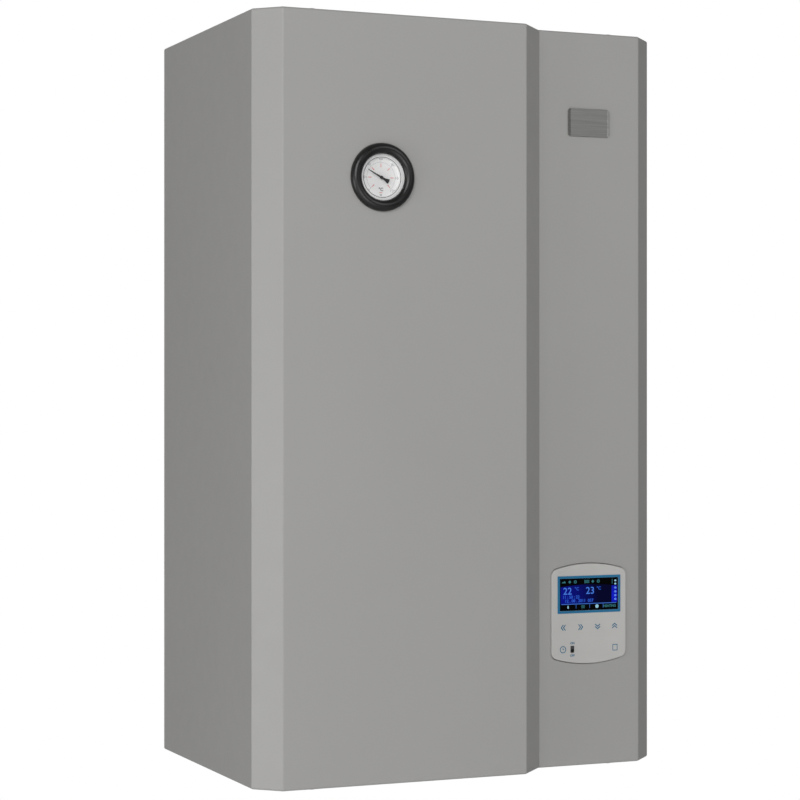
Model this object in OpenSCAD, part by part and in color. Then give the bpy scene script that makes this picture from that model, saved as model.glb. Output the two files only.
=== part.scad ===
// Electric heating boiler for wall mounting, with its pump, expansion vessel, heating tank,
// thermometer and control unit inside a folded sheet casing. All lengths are millimetres.
// X runs to the right, Y into the wall and Z up. The origin lies on the wall face at the
// casing's mid width and mid height, so the front is at negative Y.

/* [Casing] */
// Height of the casing
body_h = 700; // [690:1:760]
// Depth from the wall to the raised front panel
body_d = 282; // [280:1:310]
// Width of the raised front panel
front_w = 242; // [236:1:246]
// Width of the right panel
face_w = 107; // [100:1:112]
// Run of the chamfer between the left side and the front
left_chamfer = 22; // [16:1:26]
// Run of the sloped step between the raised panel and the right panel
step_run = 27; // [22:1:30]
// How far the right panel lies behind the raised panel
step_depth = 28; // [24:1:30]
// Run of the chamfer between the right panel and the right side
right_chamfer = 22; // [16:1:26]
// Thickness of the cover's sheet
sheet_t = 1.2; // [0.8:0.1:1.5]
// Outer radius of the cover's bends
bend_r = 2.5; // [2:0.1:4]
// Width of the cover's flanges at its top and bottom
flange_w = 15; // [12:0.5:18]
// Gap between the cover and the plates that it laps
lap_gap = 0.5; // [0.3:0.1:0.8]
// Gap round a fitting that the cover slides off
panel_gap = 0.5; // [0.3:0.1:0.8]
// Thickness of the top plate, the bottom plate and the partition
plate_t = 1.2; // [1:0.1:1.5]
// Thickness of the back plate
back_t = 1.5; // [1.2:0.1:2]
// Depth of the back plate's side flanges
back_flange = 25; // [18:1:30]
// Distance of the wall fixing holes from the casing's sides
fix_side = 41; // [38:0.5:43]
// Distance of the wall fixing holes from the casing's top and bottom
fix_end = 28; // [25:0.5:32]
// Radius of the wall fixing holes
fix_hole_r = 4; // [3:0.1:5]

/* [Badge] */
// Width of the badge plate
badge_w = 43.5; // [30:0.5:60]
// Height of the badge plate
badge_h = 26.5; // [20:0.5:40]
// Thickness of the badge plate
badge_t = 2; // [1:0.1:3]
// Corner radius of the badge plate
badge_r = 3; // [2:0.5:6]
// Distance of the badge plate's centre below the casing's top
badge_down = 86; // [70:1:110]

/* [Thermometer] */
// Distance of the dial's centre from the casing's left side
gauge_in = 118; // [110:1:122]
// Distance of the dial's centre below the casing's top
gauge_down = 148.9; // [146:0.1:158]
// Outer radius of the bezel ring
bezel_r = 31; // [29:0.5:33]
// Radius of the bezel's opening
bezel_open_r = 21.1; // [20:0.1:21.2]
// How far the bezel stands out of the cover
bezel_out = 6; // [5:0.5:8]
// Outer radius of the thermometer's case
gauge_r = 28; // [27:0.5:28]
// Radius of the dial
dial_r = 25; // [24.5:0.1:25.5]
// Length of the needle in front of its spindle
needle_len = 15.3; // [10:0.1:19]

/* [Heating tank] */
// Wall of the tank
tank_wall = 2.5; // [2:0.1:3]
// Thickness of the insulating jacket
jacket_t = 13; // [10:0.5:16]
// Gap between the jacket and the partition
tank_side_gap = 5; // [4:0.5:8]
// Height of the tank above the casing's floor
tank_up = 180; // [176:1:190]
// Room above the tank for its head and wires
tank_room = 110; // [104:1:120]
// Radius of a heating tube
rod_r = 4.25; // [3:0.05:4.5]

/* [Pipes] */
// Outer radius of the main pipes
pipe_r = 11; // [10:0.5:11.5]
// Wall of the main pipes
pipe_wall = 1.5; // [1:0.1:2]
// Centre-line radius of the main pipes' bends
pipe_bend = 20; // [18:1:22]
// Radius of the threaded pipe ends below the casing
stub_r = 13.2; // [12:0.1:13.5]
// How far the threaded pipe ends reach below the casing
stub_out = 25; // [20:1:30]
// Radius of the discharge pipe
drain_r = 7; // [6:0.5:7.5]

/* [Pump] */
// Radius of the pump's volute
volute_r = 50; // [46:1:52]
// Length of the pump's ports beyond its volute
port_out = 15; // [14:0.5:17]
// Radius of the pump's motor
motor_r = 43; // [40:1:44]
// Length of the pump's motor
motor_len = 68; // [62:1:76]
// Radial running clearance of shafts and pins
run_gap = 0.05; // [0.03:0.01:0.08]

/* [Expansion vessel] */
// Gap between the vessel and the casing's left side
vessel_side = 7; // [6:0.5:12]
// Gap between the vessel and the wall
vessel_back = 20; // [18:0.5:24]
// Height of the vessel above the casing's floor
vessel_up = 265; // [262:1:275]
// Room above the vessel
vessel_room = 50; // [40:1:60]
// Corner radius of the expansion vessel
vessel_r = 12; // [8:1:14]

/* [Control unit] */
// Width of the control unit's front
panel_w = 80; // [78:1:84]
// Height of the control unit's front at its middle
panel_h = 95.5; // [94:0.5:102]
// Height of the bow along the control unit's top and bottom edges
panel_bow = 9; // [5:0.5:12]
// Corner radius of the control unit's front
panel_r = 5; // [3:0.5:7]
// How far the control unit's front stands out of the right panel
panel_out = 2; // [1:0.1:3]
// Height of the control unit's centre above the casing's floor
panel_up = 145; // [140:0.5:154]
// Width of the display
display_w = 62.6; // [60:0.1:66]
// Height of the display
display_h = 30.6; // [28:0.1:32]
// Radius of a key
key_r = 6; // [4:0.1:6.1]
// Travel of a key
key_travel = 0.5; // [0.3:0.05:0.6]
// Travel of the slide switch
switch_travel = 3; // [2:0.1:3.2]

/* [Electrics] */
// Width of one mains terminal
terminal_w = 12; // [10:0.5:12]
// Number of mains terminals
terminal_count = 5; // [3:1:5]
// Height of the power board
board_h = 200; // [190:1:204]
// Gap between the power board and the casing's side
board_side = 5.8; // [4:0.1:9]
// Radius of the bore of a cable gland
gland_bore_r = 5; // [3:0.5:6]

/* [Hidden] */
$fn = 64;

// Overrun of every cut, fit of parts that do not move, and seat of a curved face
cut = 1;
fit_gap = 0.2;
seat_gap = 0.1;
bend_steps = 5;

// Casing outline, seen from above and walked from the left rear corner
body_w = left_chamfer + front_w + step_run + face_w + right_chamfer;
top_z = body_h / 2;
floor_z = -body_h / 2;
x_left = -body_w / 2;
x_right = body_w / 2;
y_front = -body_d;
y_face = step_depth - body_d;
front_x0 = x_left + left_chamfer;
front_x1 = front_x0 + front_w;
face_x0 = front_x1 + step_run;
face_x1 = x_right - right_chamfer;
casing_outline = [
  [x_left, 0], [x_left, y_front + left_chamfer], [front_x0, y_front], [front_x1, y_front],
  [face_x0, y_face], [face_x1, y_face], [x_right, y_face + right_chamfer], [x_right, 0]
];
inner_half = x_right - sheet_t - lap_gap;
plate_top_z = top_z - sheet_t - lap_gap;
back_top_z = plate_top_z - plate_t;

// Cover screws, in slots that are open towards the front
screw_r = 2;
screw_head_r = 4;
screw_head_h = 1.1;
screw_nut_r = 4;
screw_nut_h = 3;
screw_in = 30;
cover_screw_places = [
  [front_x0 + screw_in, y_front + flange_w / 2], [face_x1 - screw_in, y_face + flange_w / 2]
];

// Partition between the water side and the electric side, with its two front tabs
part_in = 1;
part_x = face_x0 + part_in;
part_front_back = 16;
part_front = y_face + sheet_t + part_front_back;
control_depth = 32;
control_tab_y = y_face + control_depth;
control_tab_w = 110;
control_tab_h = 112;
limiter_back = 74;
limiter_tab_y = y_face + limiter_back;
limiter_tab_w = 64;
limiter_down = 110;
limiter_z = top_z - limiter_down;
limiter_tab_h = 50;
wire_hole_down = 65;
wire_hole_z = top_z - wire_hole_down;
wire_hole_r = 14;
pump_hole_in = 112;
pump_hole_up = 75;
pump_cable_hole = [-pump_hole_in, floor_z + pump_hole_up];
probe_hole_back = 67;
probe_hole_down = 153;
probe_hole = [y_front + probe_hole_back, top_z - probe_hole_down];
cable_hole_r = 6;

// Thermometer, from its bezel back to its collar on the bracket
gauge_x = x_left + gauge_in;
gauge_z = top_z - gauge_down;
badge_z = top_z - badge_down;
bezel_y = y_front - bezel_out;
bezel_len = 14;
bezel_round = 4.9;
bezel_lip = 4.4;
glass_t = 1.5;
glass_y = bezel_y + bezel_lip;
case_y = glass_y + glass_t;
dial_t = 1;
dial_in = 4.8;
dial_y = case_y + dial_in;
case_depth = 32;
case_rear_y = y_front + case_depth;
case_wall = 1.5;
needle_t = 0.6;
needle_off = 3.5;
needle_y = dial_y - needle_off;
needle_tail = 7.6;
needle_waist = 3.5;
needle_w = 1.9;
needle_tail_w = 4.6;
needle_angle = 151.8;
needle_hub_r = 1.1;
spindle_r = 0.8;
spindle_len = 5.5;
collar_r = 30.5;
collar_t = 2;
bracket_back = 20;
bracket_y = y_front + bracket_back;
bracket_t = 1.5;
bracket_w = 76;
bracket_below = 38;
bracket_tab = 14;
capillary_r = 1.2;
bulb_r = 3.3;
bulb_len = 38;

// Upright pipes, each at its own distance from the left side
pump_in = 78;
column_in = 136;
relief_in = 62;
discharge_in = 23;
discharge_tip_in = 48;
pump_x = x_left + pump_in;
column_x = x_left + column_in;
relief_x = x_left + relief_in;
discharge_x = x_left + discharge_in;
discharge_tip_x = x_left + discharge_tip_in;
pump_y = -70;
column_back = 54;
column_y = y_front + column_back;

// Heating tank, between the flow pipe and the partition
tank_front_gap = 34;
tank_back_gap = 4;
jacket_r = (part_x - tank_side_gap - column_x - pipe_r) / 2;
tank_r = jacket_r - jacket_t;
tank_x = part_x - tank_side_gap - jacket_r;
tank_y = y_front + tank_front_gap + jacket_r;
tank_z0 = floor_z + tank_up;
tank_z1 = top_z - tank_room;

// Expansion vessel behind the tank, on a shelf of the back plate
vessel_right = 95;
vessel_x0 = x_left + vessel_side;
vessel_w = part_x - vessel_right - vessel_x0;
vessel_y = -vessel_back;
vessel_d = vessel_y - (tank_y + jacket_r + tank_back_gap);
vessel_z0 = floor_z + vessel_up;
vessel_h = top_z - vessel_room - vessel_z0;
vessel_rim = 4;
vessel_rim_t = 3;
vessel_wall = 1.5;
membrane_t = 2;
vessel_port_in = 12;
vessel_port_r = 7;
vessel_port_len = 12;
vessel_port_x = vessel_x0 + vessel_port_in;
vessel_mid_y = vessel_y - vessel_d / 2;
vessel_x = vessel_x0 + vessel_w / 2;
vessel_z = vessel_z0 + vessel_h / 2;
valve_in = 95;
valve_r = 5;
valve_len = 14;
shelf_in = 26;
clip_w = 40;
clip_share = 0.3;
clip_depth = vessel_back + clip_share * vessel_d;

// Fittings of the heating tank
boss_r = 34;
boss_h = 14;
boss_bore_r = 28;
head_r = 38;
head_h = 10;
head_z = tank_z1 + boss_h;
jacket_in = 2;
jacket_split = 0.4;
socket_r = 13.5;
socket_out = 21;
pipe_in = 3;
socket_start = tank_r - tank_wall / 2;
pocket_r = 5;
pocket_bore_r = 3.6;
pocket_out = 23;
pocket_in = 25;
pocket_down = 25;
pocket_pitch = 65;
pocket_heights = [tank_z1 - pocket_down, tank_z1 - pocket_down - pocket_pitch];
clamp_t = 1.2;
clamp_h = 16;
clamp_down = 140;
clamp_up = 130;
clamp_heights = [tank_z1 - clamp_down, tank_z0 + clamp_up];
saddle_half = 18;
saddle_reach = 8;
tank_drain_r = 12;
tank_drain_h = 12;
tank_drain_bore = 6;

// Heating tubes: three hairpins round the head's centre, and their studs
rod_count = 3;
rod_ring_r = 14;
rod_leg = 8;
rod_above = 4;
rod_up = 38;
rod_low = tank_z0 + rod_up;
stud_r = 2;
stud_h = 20;
link_up = 8;
link_z = head_z + head_h + link_up;
link_t = 2;
link_eye_r = 5;
link_w = 5;
stud_ring_r = norm([rod_ring_r, rod_leg]);

// Drain valve under the tank
drain_z1 = tank_z0 - tank_drain_h;
drain_body_r = 11;
drain_body_h = 44;
drain_tail_r = 6;
drain_tail_h = 20;
drain_knob_down = 20;
drain_knob_z = drain_z1 - drain_knob_down;
drain_boss_r = 9;
drain_boss_out = 20;
drain_pin_r = 3;
drain_pin_len = 8;
drain_knob_r = 13;
drain_knob_h = 13;

// Pump, with its ports on one upright line
pump_up = 155;
pump_z = floor_z + pump_up;
pump_len = 2 * (volute_r + port_out);
pump_top = pump_z + pump_len / 2;
pump_bottom = pump_z - pump_len / 2;
port_r = 16;
port_bore_r = 10;
volute_back = 25;
volute_d = 55;
volute_y0 = pump_y + volute_back;
volute_y1 = volute_y0 - volute_d;
volute_wall = 6;
chamber_r = 36;
motor_y1 = volute_y1 - motor_len;
motor_flange_t = 6;
rotor_r = 18;
rotor_cavity_r = 20;
rotor_front = 12;
rotor_back = 10;
rotor_len = motor_len - rotor_front - rotor_back;
shaft_r = 5;
impeller_r = 32;
impeller_t = 12;
impeller_in = 18;
impeller_y = volute_y0 - volute_wall - impeller_in;
box_w = 52;
box_h = 32;
box_back = 12;
box_front = 2;
box_up = 30;
box_y0 = volute_y1 - box_back;
box_y1 = motor_y1 + box_front;
box_z1 = pump_z + motor_r + box_up;
knob_r = 8;
knob_h = 8;
knob_pin_r = 2.5;
knob_pin_len = 8;
knob_gap = 0.3;
knob_grip_t = 1;
knob_grip_w = 2.4;
knob_down = 18;
knob_z = box_z1 - knob_down;
nut_r = 24;
nut_over = 12;
nut_beyond = 6;
collar_len = 2.5;
pipe_collar_r = 15.6;
nut_lip = 3;

// Pipe routes
riser_up = 24;
riser_z = pump_top + riser_up;
riser_bend = 16;
flow_down = 50;
flow_z = tank_z1 - flow_down;
column_above = 18;
column_top = flow_z + column_above;
column_up = 60;
column_low = floor_z + column_up;
stub_above = 25;
stub_top = floor_z + stub_above;
stub_thread_down = 3;
stub_thread_top = floor_z - stub_thread_down;
stub_neck_in = 0.6;
stub_neck_r = stub_r - stub_neck_in;
stub_end = floor_z - stub_out;
stub_gap = 0.8;
relief_down = 72;
relief_z = flow_z - relief_down;
relief_rise = 16;
relief_top = relief_z + relief_rise;
relief_bend = 12;
tee_up = 50;
tee_z = floor_z + tee_up;
tee_r = 9;
tee_sleeve_r = 13;
tee_sleeve_half = 16;
tee_out = 18;
hose_r = 5;
hose_nut_r = 8.5;
hose_nut_len = 10;
hose_bend = 16;
discharge_up = 30;
discharge_low = floor_z + discharge_up;
discharge_out = 18;
discharge_end = floor_z - discharge_out;
discharge_wall = 1;
discharge_tip_t = 0.5;
discharge_tip_r = drain_r + discharge_tip_t;
discharge_tip_down = 2;
discharge_tip_z = floor_z - discharge_tip_down;
flow_angle = atan2(column_y - tank_y, column_x - tank_x);
riser_angle = atan2(pump_y - tank_y, pump_x - tank_x);

// Air vent on top of the flow pipe
vent_base_r = 13;
vent_base_h = 8;
vent_r = 17;
vent_h = 54;
vent_neck_r = 4;
vent_neck_h = 10;
vent_cap_r = 7.5;
vent_cap_h = 12;
vent_cap_z = column_top + vent_h + knob_gap;

// Safety valve on its branch of the flow pipe
valve_base_r = 13;
valve_base_h = 10;
valve_body_r = 15;
valve_body_h = 24;
bonnet_r = 12;
bonnet_h = 13;
valve_pin_r = 3;
valve_pin_h = 11;
valve_knob_r = 15;
valve_knob_h = 16;
outlet_up = 20;
outlet_z = relief_top + outlet_up;
outlet_r = 10;
outlet_out = 24;
outlet_seat = 18;
bonnet_top = relief_top + valve_base_h + valve_body_h + bonnet_h;

// Control unit, near the right panel's middle line
panel_shift = 1.2;
panel_x = (face_x0 + face_x1) / 2 - panel_shift;
panel_z = floor_z + panel_up;
panel_y = y_face - panel_out;
fascia_t = 4.7;
fascia_rear = panel_y + fascia_t;
housing_w = 82;
housing_h = 90;
housing_wall = 2;
display_up = 18.4;
display_t = 1.8;
display_gap = 0.1;
window_edge = 3;
pcb_in = 16;
pcb_y = panel_y + pcb_in;
pcb_t = 1.6;
pcb_w = 70;
pcb_h = 74;
module_w = 62;
module_h = 36;
key_pitch = 18.4;
key_row = -12.8;
low_row = -33.6;
low_key_x = 28;
key_places = [
  [-1.5 * key_pitch, key_row], [-0.5 * key_pitch, key_row], [0.5 * key_pitch, key_row],
  [1.5 * key_pitch, key_row], [-low_key_x, low_row], [low_key_x, low_row]
];
key_gap = 0.15;
key_rim = 0.8;
key_rim_t = 1.2;
key_rim_gap = 0.3;
key_stem_r = 2;
key_stem_gap = 1.2;
switch_x = -18;
switch_w = 4;
switch_h = 6.6;
switch_knob_h = 3.2;
switch_in = 1.2;
switch_plate_t = 1.2;
switch_plate_w = 5.4;
switch_plate_h = 9;
panel_cable_r = 6;
panel_cable_in = 17.5;
panel_cable_down = 9.5;

// Electric side
side_x = inner_half - back_t;
rail_in = 8;
rail_side = 3.8;
rail_x0 = part_x + rail_in;
rail_len = side_x - rail_side - rail_x0;
rail_up = 110;
rail_z = floor_z + rail_up;
rail_h = 35;
rail_base_h = 27;
rail_d = 7.5;
rail_t = 1;
rail_front = -back_t - rail_d;
terminal_in = 4;
terminal_x0 = rail_x0 + terminal_in;
terminal_gap = 0.2;
terminal_h = 52;
terminal_d = 43;
terminal_screw_r = 3;
contactor_gap = 3;
contactor_end = 2;
contactor_x0 = terminal_x0 + terminal_count * (terminal_w + terminal_gap) + contactor_gap;
contactor_w = rail_x0 + rail_len - contactor_end - contactor_x0;
contactor_h = 76;
contactor_d = 79;
contactor_step = 14;
board_in = 12;
board_up = 260;
board_x0 = part_x + board_in;
board_w = side_x - board_side - board_x0;
board_z0 = floor_z + board_up;
board_t = 1.6;
board_off = 10;
board_y = -back_t - board_off;
board_front = board_y - board_t;
pillar_r = 3;
pillar_in = 6;
relay_count = 3;
relay_w = 20;
relay_h = 28;
relay_d = 16;
sink_in = 4;
sink_gap = 12;
sink_x0 = board_x0 + sink_in;
sink_w = board_w - 2 * sink_in;
sink_z0 = board_z0 + board_h + sink_gap;
sink_h = 74;
sink_base = 6;
sink_d = 30;
fin_count = 13;
fin_t = 2.2;
limiter_w = 40;
limiter_h = 36;
limiter_d = 30;
limiter_in = 35;
limiter_x = part_x + limiter_in;
limiter_neck_r = 5.5;
limiter_neck = 8;
button_r = 4;
button_out = 3;
button_travel = 2;
gland_in = 25;
gland_pitch = 35;
gland_places = [part_x + gland_in, part_x + gland_in + gland_pitch, part_x + gland_in + 2 * gland_pitch];
gland_y = -60;
gland_r = 13;
gland_flange = 5;
gland_dome = 18;
gland_dome_r = 11;
gland_thread_r = 9.8;
gland_nut_h = 6;
gland_hole_r = 10;

// Wires and capillary tubes, each as points of its own route
wire_r = 2;
wire_sides = 8;
cable_r = 2.6;
gauge_tube_route = [
  [-92, -256, 229.2], [-92, -256, 240], [-89, -256, 251], [-78, -257, 257], [-58, -259, 258],
  [-36, -262, 254], [-16, -267, 243], [-2, -271, 229], [5, -272, 219], [7, -268, 215], [7, -261.5, 215]
];
limiter_tube_route = [
  [117, -164, 221.7], [117, -166, 212], [112, -178, 204], [100, -198, 199], [90, -212, 197],
  [76, -222, 196], [60, -238, 190], [42, -254, 178], [22, -267, 162], [11, -270, 152], [7, -267, 150],
  [7, -261.5, 150]
];
pump_cable_route = [
  [-105.8, -139, -136], [-101, -139, -136], [-90, -139, -140], [-83, -139, -152], [-80, -138, -180],
  [-72, -134, -220], [-50, -126, -256], [-8, -118, -272], [42, -113, -275], [83, -112, -275],
  [94, -111, -272], [102, -105, -250], [104, -92, -200], [104, -66, -150], [104, -38, -108],
  [104, -21, -86], [104, -17, -80], [104, -13.3, -80]
];
panel_cable_route = [
  [151, -238.2, -214.5], [151, -222, -214.5], [151, -205, -211], [151, -185, -192], [151, -165, -155],
  [151, -130, -105], [151, -80, -55], [151, -40, -25], [151, -24, -15], [151, -17, -10], [151, -13.3, -10]
];
contactor_wire_routes = [for (x = [169, 179, 189]) [
  [x, -70, -201.9], [x, -70, -186], [x, -66, -166], [x, -56, -140], [x, -42, -115],
  [x, -30, -95], [x, -21, -80], [x, -17, -72], [x, -13.3, -72]
]];
rod_wire_places = [[130, 94, -171, 15.2, -164], [142, 100, -178, 25.4, -178], [154, 106, -185, 15.2, -192]];
rod_wire_routes = [for (p = rod_wire_places) [
  [p[0], -13.3, 98], [p[0], -22, 98.5], [p[0], -34, 104], [p[0], -42, 122], [p[0], -46, 150],
  [p[0], -52, 190], [p[0], -64, 222], [p[0] - 6, -88, 254], [p[0] - 14, -125, 276],
  [p[1], p[2] + 10, 284], [84, p[2], 285], [62, p[2], 284], [p[3] + 16, p[4], 281], [p[3] + 2.1, p[4], 281]
]];

// Colours
grey_paint = [0.60, 0.60, 0.59];
light_grey = [0.67, 0.67, 0.66];
zinc = [0.72, 0.73, 0.74];
steel = [0.62, 0.63, 0.65];
brass_colour = [0.78, 0.62, 0.32];
copper_colour = [0.72, 0.45, 0.30];
black_plastic = [0.06, 0.06, 0.06];
dark_grey = [0.22, 0.22, 0.23];
red_paint = [0.65, 0.10, 0.08];
foam = [0.16, 0.16, 0.17];
white_plastic = [0.90, 0.90, 0.88];
blue_plastic = [0.10, 0.25, 0.55];
board_green = [0.08, 0.32, 0.16];

// Vector helpers
function unit(v) = v / norm(v);
function left_of(v) = [-v[1], v[0]];
function heading(v) = atan2(v[1], v[0]);
function turn_of(a, b) = atan2(a[0] * b[1] - a[1] * b[0], a * b);
function reversed(list) = [for (i = [len(list) - 1:-1:0]) list[i]];

// Points of one sheet bend at corner b, between corners a and c, at a depth into the sheet.
// A bend that closes on the inner side has its outer face at radius r, the other its inner face.
function bend_points(a, b, c, r, t, depth, steps) =
  let (
    d1 = unit(b - a), d2 = unit(c - b), turn = turn_of(d1, d2), side = sign(turn),
    radius = side > 0 ? r : r - t, trim = radius * tan(abs(turn) / 2),
    centre = b - d1 * trim + left_of(d1) * radius * side
  )
  [for (k = [0:steps])
    let (h = heading(d1) + turn * k / steps, n = [-sin(h), cos(h)])
      centre - n * radius * side + n * depth];

// One face of a folded sheet, with its bends rounded
function face_line(corners, r, t, depth, steps) =
  let (
    last = len(corners) - 1, n0 = left_of(unit(corners[1] - corners[0])),
    n1 = left_of(unit(corners[last] - corners[last - 1]))
  )
  [corners[0] + n0 * depth,
   for (i = [1:last - 1])
     each bend_points(corners[i - 1], corners[i], corners[i + 1], r, t, depth, steps),
   corners[last] + n1 * depth];

// The corners moved inwards by d, with mitred corners
function inset(corners, d) =
  let (last = len(corners) - 1)
  [for (i = [0:last])
    let (
      before = max(i, 1), after = min(i, last - 1),
      n0 = left_of(unit(corners[before] - corners[before - 1])),
      n1 = left_of(unit(corners[after + 1] - corners[after]))
    )
    corners[i] + (n0 + n1) * d / (1 + n0 * n1)];

// Arc points round a centre, and a rectangle with rounded corners round its middle
function arc(centre, r, from, to, steps) =
  [for (k = [0:steps]) let (a = from + (to - from) * k / steps) centre + r * [cos(a), sin(a)]];
function round_rect(w, h, r, steps) =
  [for (q = [0:3])
    let (sx = (q == 0 || q == 3) ? 1 : -1, sy = q < 2 ? 1 : -1)
      each arc([sx * (w / 2 - r), sy * (h / 2 - r)], r, q * 90, q * 90 + 90, steps)];

// A rectangle whose top and bottom edges are bowed out, with rounded corners
function bowed_rect(w, h, bow, r, steps) =
  let (
    big = (w * w / 4 + bow * bow) / (2 * bow), down = big - h / 2,
    rise = sqrt((big - r) * (big - r) - (w / 2 - r) * (w / 2 - r)),
    edge = atan2(rise, w / 2 - r),
    top = concat(
      arc([w / 2 - r, rise - down], r, 0, edge, steps),
      arc([0, -down], big, edge, 180 - edge, 2 * steps),
      arc([r - w / 2, rise - down], r, 180 - edge, 180, steps)
    )
  )
  concat(top, [for (p = top) -p]);

// Placing helpers
module front_slab(x, z, y_rear, y_near) {
  translate([x, y_rear, z]) rotate([90, 0, 0]) linear_extrude(y_rear - y_near) children();
}
module front_disc(x, z, r, y_rear, y_near) {
  translate([x, y_rear, z]) rotate([90, 0, 0]) cylinder(r = r, h = y_rear - y_near);
}
module upright(x, y, r, z0, z1) {
  translate([x, y, z0]) cylinder(r = r, h = z1 - z0);
}
module block(x, y, z) {
  translate([x[0], y[0], z[0]]) cube([x[1] - x[0], y[1] - y[0], z[1] - z[0]]);
}
module hexagon(x, y, r, z0, z1) {
  translate([x, y, z0]) cylinder(r = r, h = z1 - z0, $fn = 6);
}
module from_tank(angle, z, from, to, r) {
  translate([tank_x, tank_y, z]) rotate([0, 0, angle]) translate([from, 0, 0])
    rotate([0, 90, 0]) cylinder(r = r, h = to - from);
}

// Round pipe along a route, with bends of one centre-line radius
module leg(a, b, r) {
  d = b - a;
  translate(a) rotate([0, acos(d[2] / norm(d)), atan2(d[1], d[0])]) cylinder(r = r, h = norm(d));
}
function turn_angle(a, b, c) = acos(unit(b - a) * unit(c - b));
module elbow(a, b, c, r, bend) {
  d1 = unit(b - a);
  axis = unit(cross(d1, unit(c - b)));
  inward = cross(axis, d1);
  turn = turn_angle(a, b, c);
  centre = b - d1 * bend * tan(turn / 2) + inward * bend;
  multmatrix([
    [-inward[0], d1[0], axis[0], centre[0]],
    [-inward[1], d1[1], axis[1], centre[1]],
    [-inward[2], d1[2], axis[2], centre[2]],
    [0, 0, 0, 1]
  ]) rotate_extrude(angle = turn) translate([bend, 0]) circle(r = r);
}
module pipe(route, r, bend) {
  last = len(route) - 1;
  trims = [for (i = [0:last])
    (i == 0 || i == last) ? 0 : bend * tan(turn_angle(route[i - 1], route[i], route[i + 1]) / 2)];
  for (i = [0:last - 1]) {
    d = unit(route[i + 1] - route[i]);
    leg(route[i] + d * trims[i], route[i + 1] - d * trims[i + 1], r);
  }
  for (i = [1:last - 1]) elbow(route[i - 1], route[i], route[i + 1], r, bend);
}

// A flexible tube swept along its points, with rings square to the route
function tangents(p) =
  let (last = len(p) - 1) [for (i = [0:last]) unit(p[min(i + 1, last)] - p[max(i - 1, 0)])];
function carried(t, n, i = 0) =
  i == len(t) ? [] : let (m = unit(n - t[i] * (n * t[i]))) concat([m], carried(t, m, i + 1));
module tube(route, r, sides, start = [1, 0.3, 0.2]) {
  t = tangents(route);
  n = carried(t, start);
  last = len(route) - 1;
  points = [for (i = [0:last], k = [0:sides - 1])
    let (a = 360 * k / sides) route[i] + r * (cos(a) * n[i] + sin(a) * cross(t[i], n[i]))];
  walls = [for (i = [0:last - 1], k = [0:sides - 1])
    let (a = i * sides + k, b = i * sides + (k + 1) % sides) each
      [[a, a + sides, b], [b, a + sides, b + sides]]];
  ends = [[for (k = [0:sides - 1]) k], [for (k = [sides - 1:-1:0]) last * sides + k]];
  polyhedron(points, concat(walls, ends));
}

// Casing
module front_cover() color(grey_paint) {
  outer = face_line(casing_outline, bend_r, sheet_t, 0, bend_steps);
  middle = face_line(casing_outline, bend_r, sheet_t, sheet_t / 2, bend_steps);
  inner = face_line(casing_outline, bend_r, sheet_t, sheet_t, bend_steps);
  difference() {
    union() {
      translate([0, 0, floor_z]) linear_extrude(body_h) polygon(concat(outer, reversed(inner)));
      for (z = [floor_z, top_z - sheet_t]) translate([0, 0, z])
        linear_extrude(sheet_t) polygon(concat(middle, reversed(inset(casing_outline, flange_w))));
    }
    front_disc(gauge_x, gauge_z, bezel_r + panel_gap, y_front + sheet_t + cut, y_front - cut);
    front_slab(panel_x, panel_z, y_face + sheet_t + cut, y_face - cut)
      polygon(bowed_rect(panel_w + 2 * panel_gap, panel_h + 2 * panel_gap, panel_bow,
        panel_r + panel_gap, bend_steps));
    for (p = cover_screw_places)
      upright(p[0], p[1], screw_r + fit_gap, floor_z - cut, top_z + cut);
  }
}
module badge_plate() color(zinc) {
  front_slab(panel_x, badge_z, y_face, y_face - badge_t)
    polygon(round_rect(badge_w, badge_h, badge_r, bend_steps));
}
module cover_screws() color(zinc) {
  for (p = cover_screw_places, side = [0, 1]) mirror([0, 0, side]) {
    upright(p[0], p[1], screw_head_r, top_z, top_z + screw_head_h);
    upright(p[0], p[1], screw_r, back_top_z - fit_gap - screw_nut_h, top_z);
    hexagon(p[0], p[1], screw_nut_r, back_top_z - fit_gap - screw_nut_h, back_top_z - fit_gap);
  }
}
module back_plate() color(zinc) {
  difference() {
    union() {
      block([-inner_half, inner_half], [-back_t, 0], [-back_top_z, back_top_z]);
      for (x = [-inner_half, inner_half - back_t])
        block([x, x + back_t], [-back_flange, -back_t / 2], [-back_top_z, back_top_z]);
      block([vessel_x0 + shelf_in, vessel_x0 + vessel_w - shelf_in],
        [vessel_mid_y - shelf_in / 2, -back_t / 2], [vessel_z0 - back_t, vessel_z0]);
      block([vessel_x0 + vessel_w - shelf_in - clip_w, vessel_x0 + vessel_w - shelf_in],
        [-clip_depth, -back_t / 2], [vessel_z0 + vessel_h, vessel_z0 + vessel_h + back_t]);
    }
    for (x = [x_left + fix_side, x_right - fix_side], z = [floor_z + fix_end, top_z - fix_end])
      front_disc(x, z, fix_hole_r, cut, -back_t - cut);
  }
}
module lap_plate() {
  linear_extrude(plate_t) difference() {
    polygon(inset(casing_outline, sheet_t + lap_gap));
    for (p = cover_screw_places) {
      translate(p) circle(r = screw_r + fit_gap);
      translate([p[0] - screw_r - fit_gap, p[1] - flange_w])
        square([2 * (screw_r + fit_gap), flange_w]);
    }
  }
}
module top_plate() color(zinc) {
  translate([0, 0, back_top_z]) lap_plate();
}
module bottom_plate() color(zinc) {
  difference() {
    translate([0, 0, -plate_top_z]) lap_plate();
    for (x = [pump_x, column_x])
      upright(x, pump_y, stub_r + stub_gap, floor_z, -back_top_z + cut);
    upright(discharge_tip_x, pump_y, discharge_tip_r + stub_gap, floor_z, -back_top_z + cut);
    for (x = gland_places) upright(x, gland_y, gland_hole_r, floor_z, -back_top_z + cut);
  }
}
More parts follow.
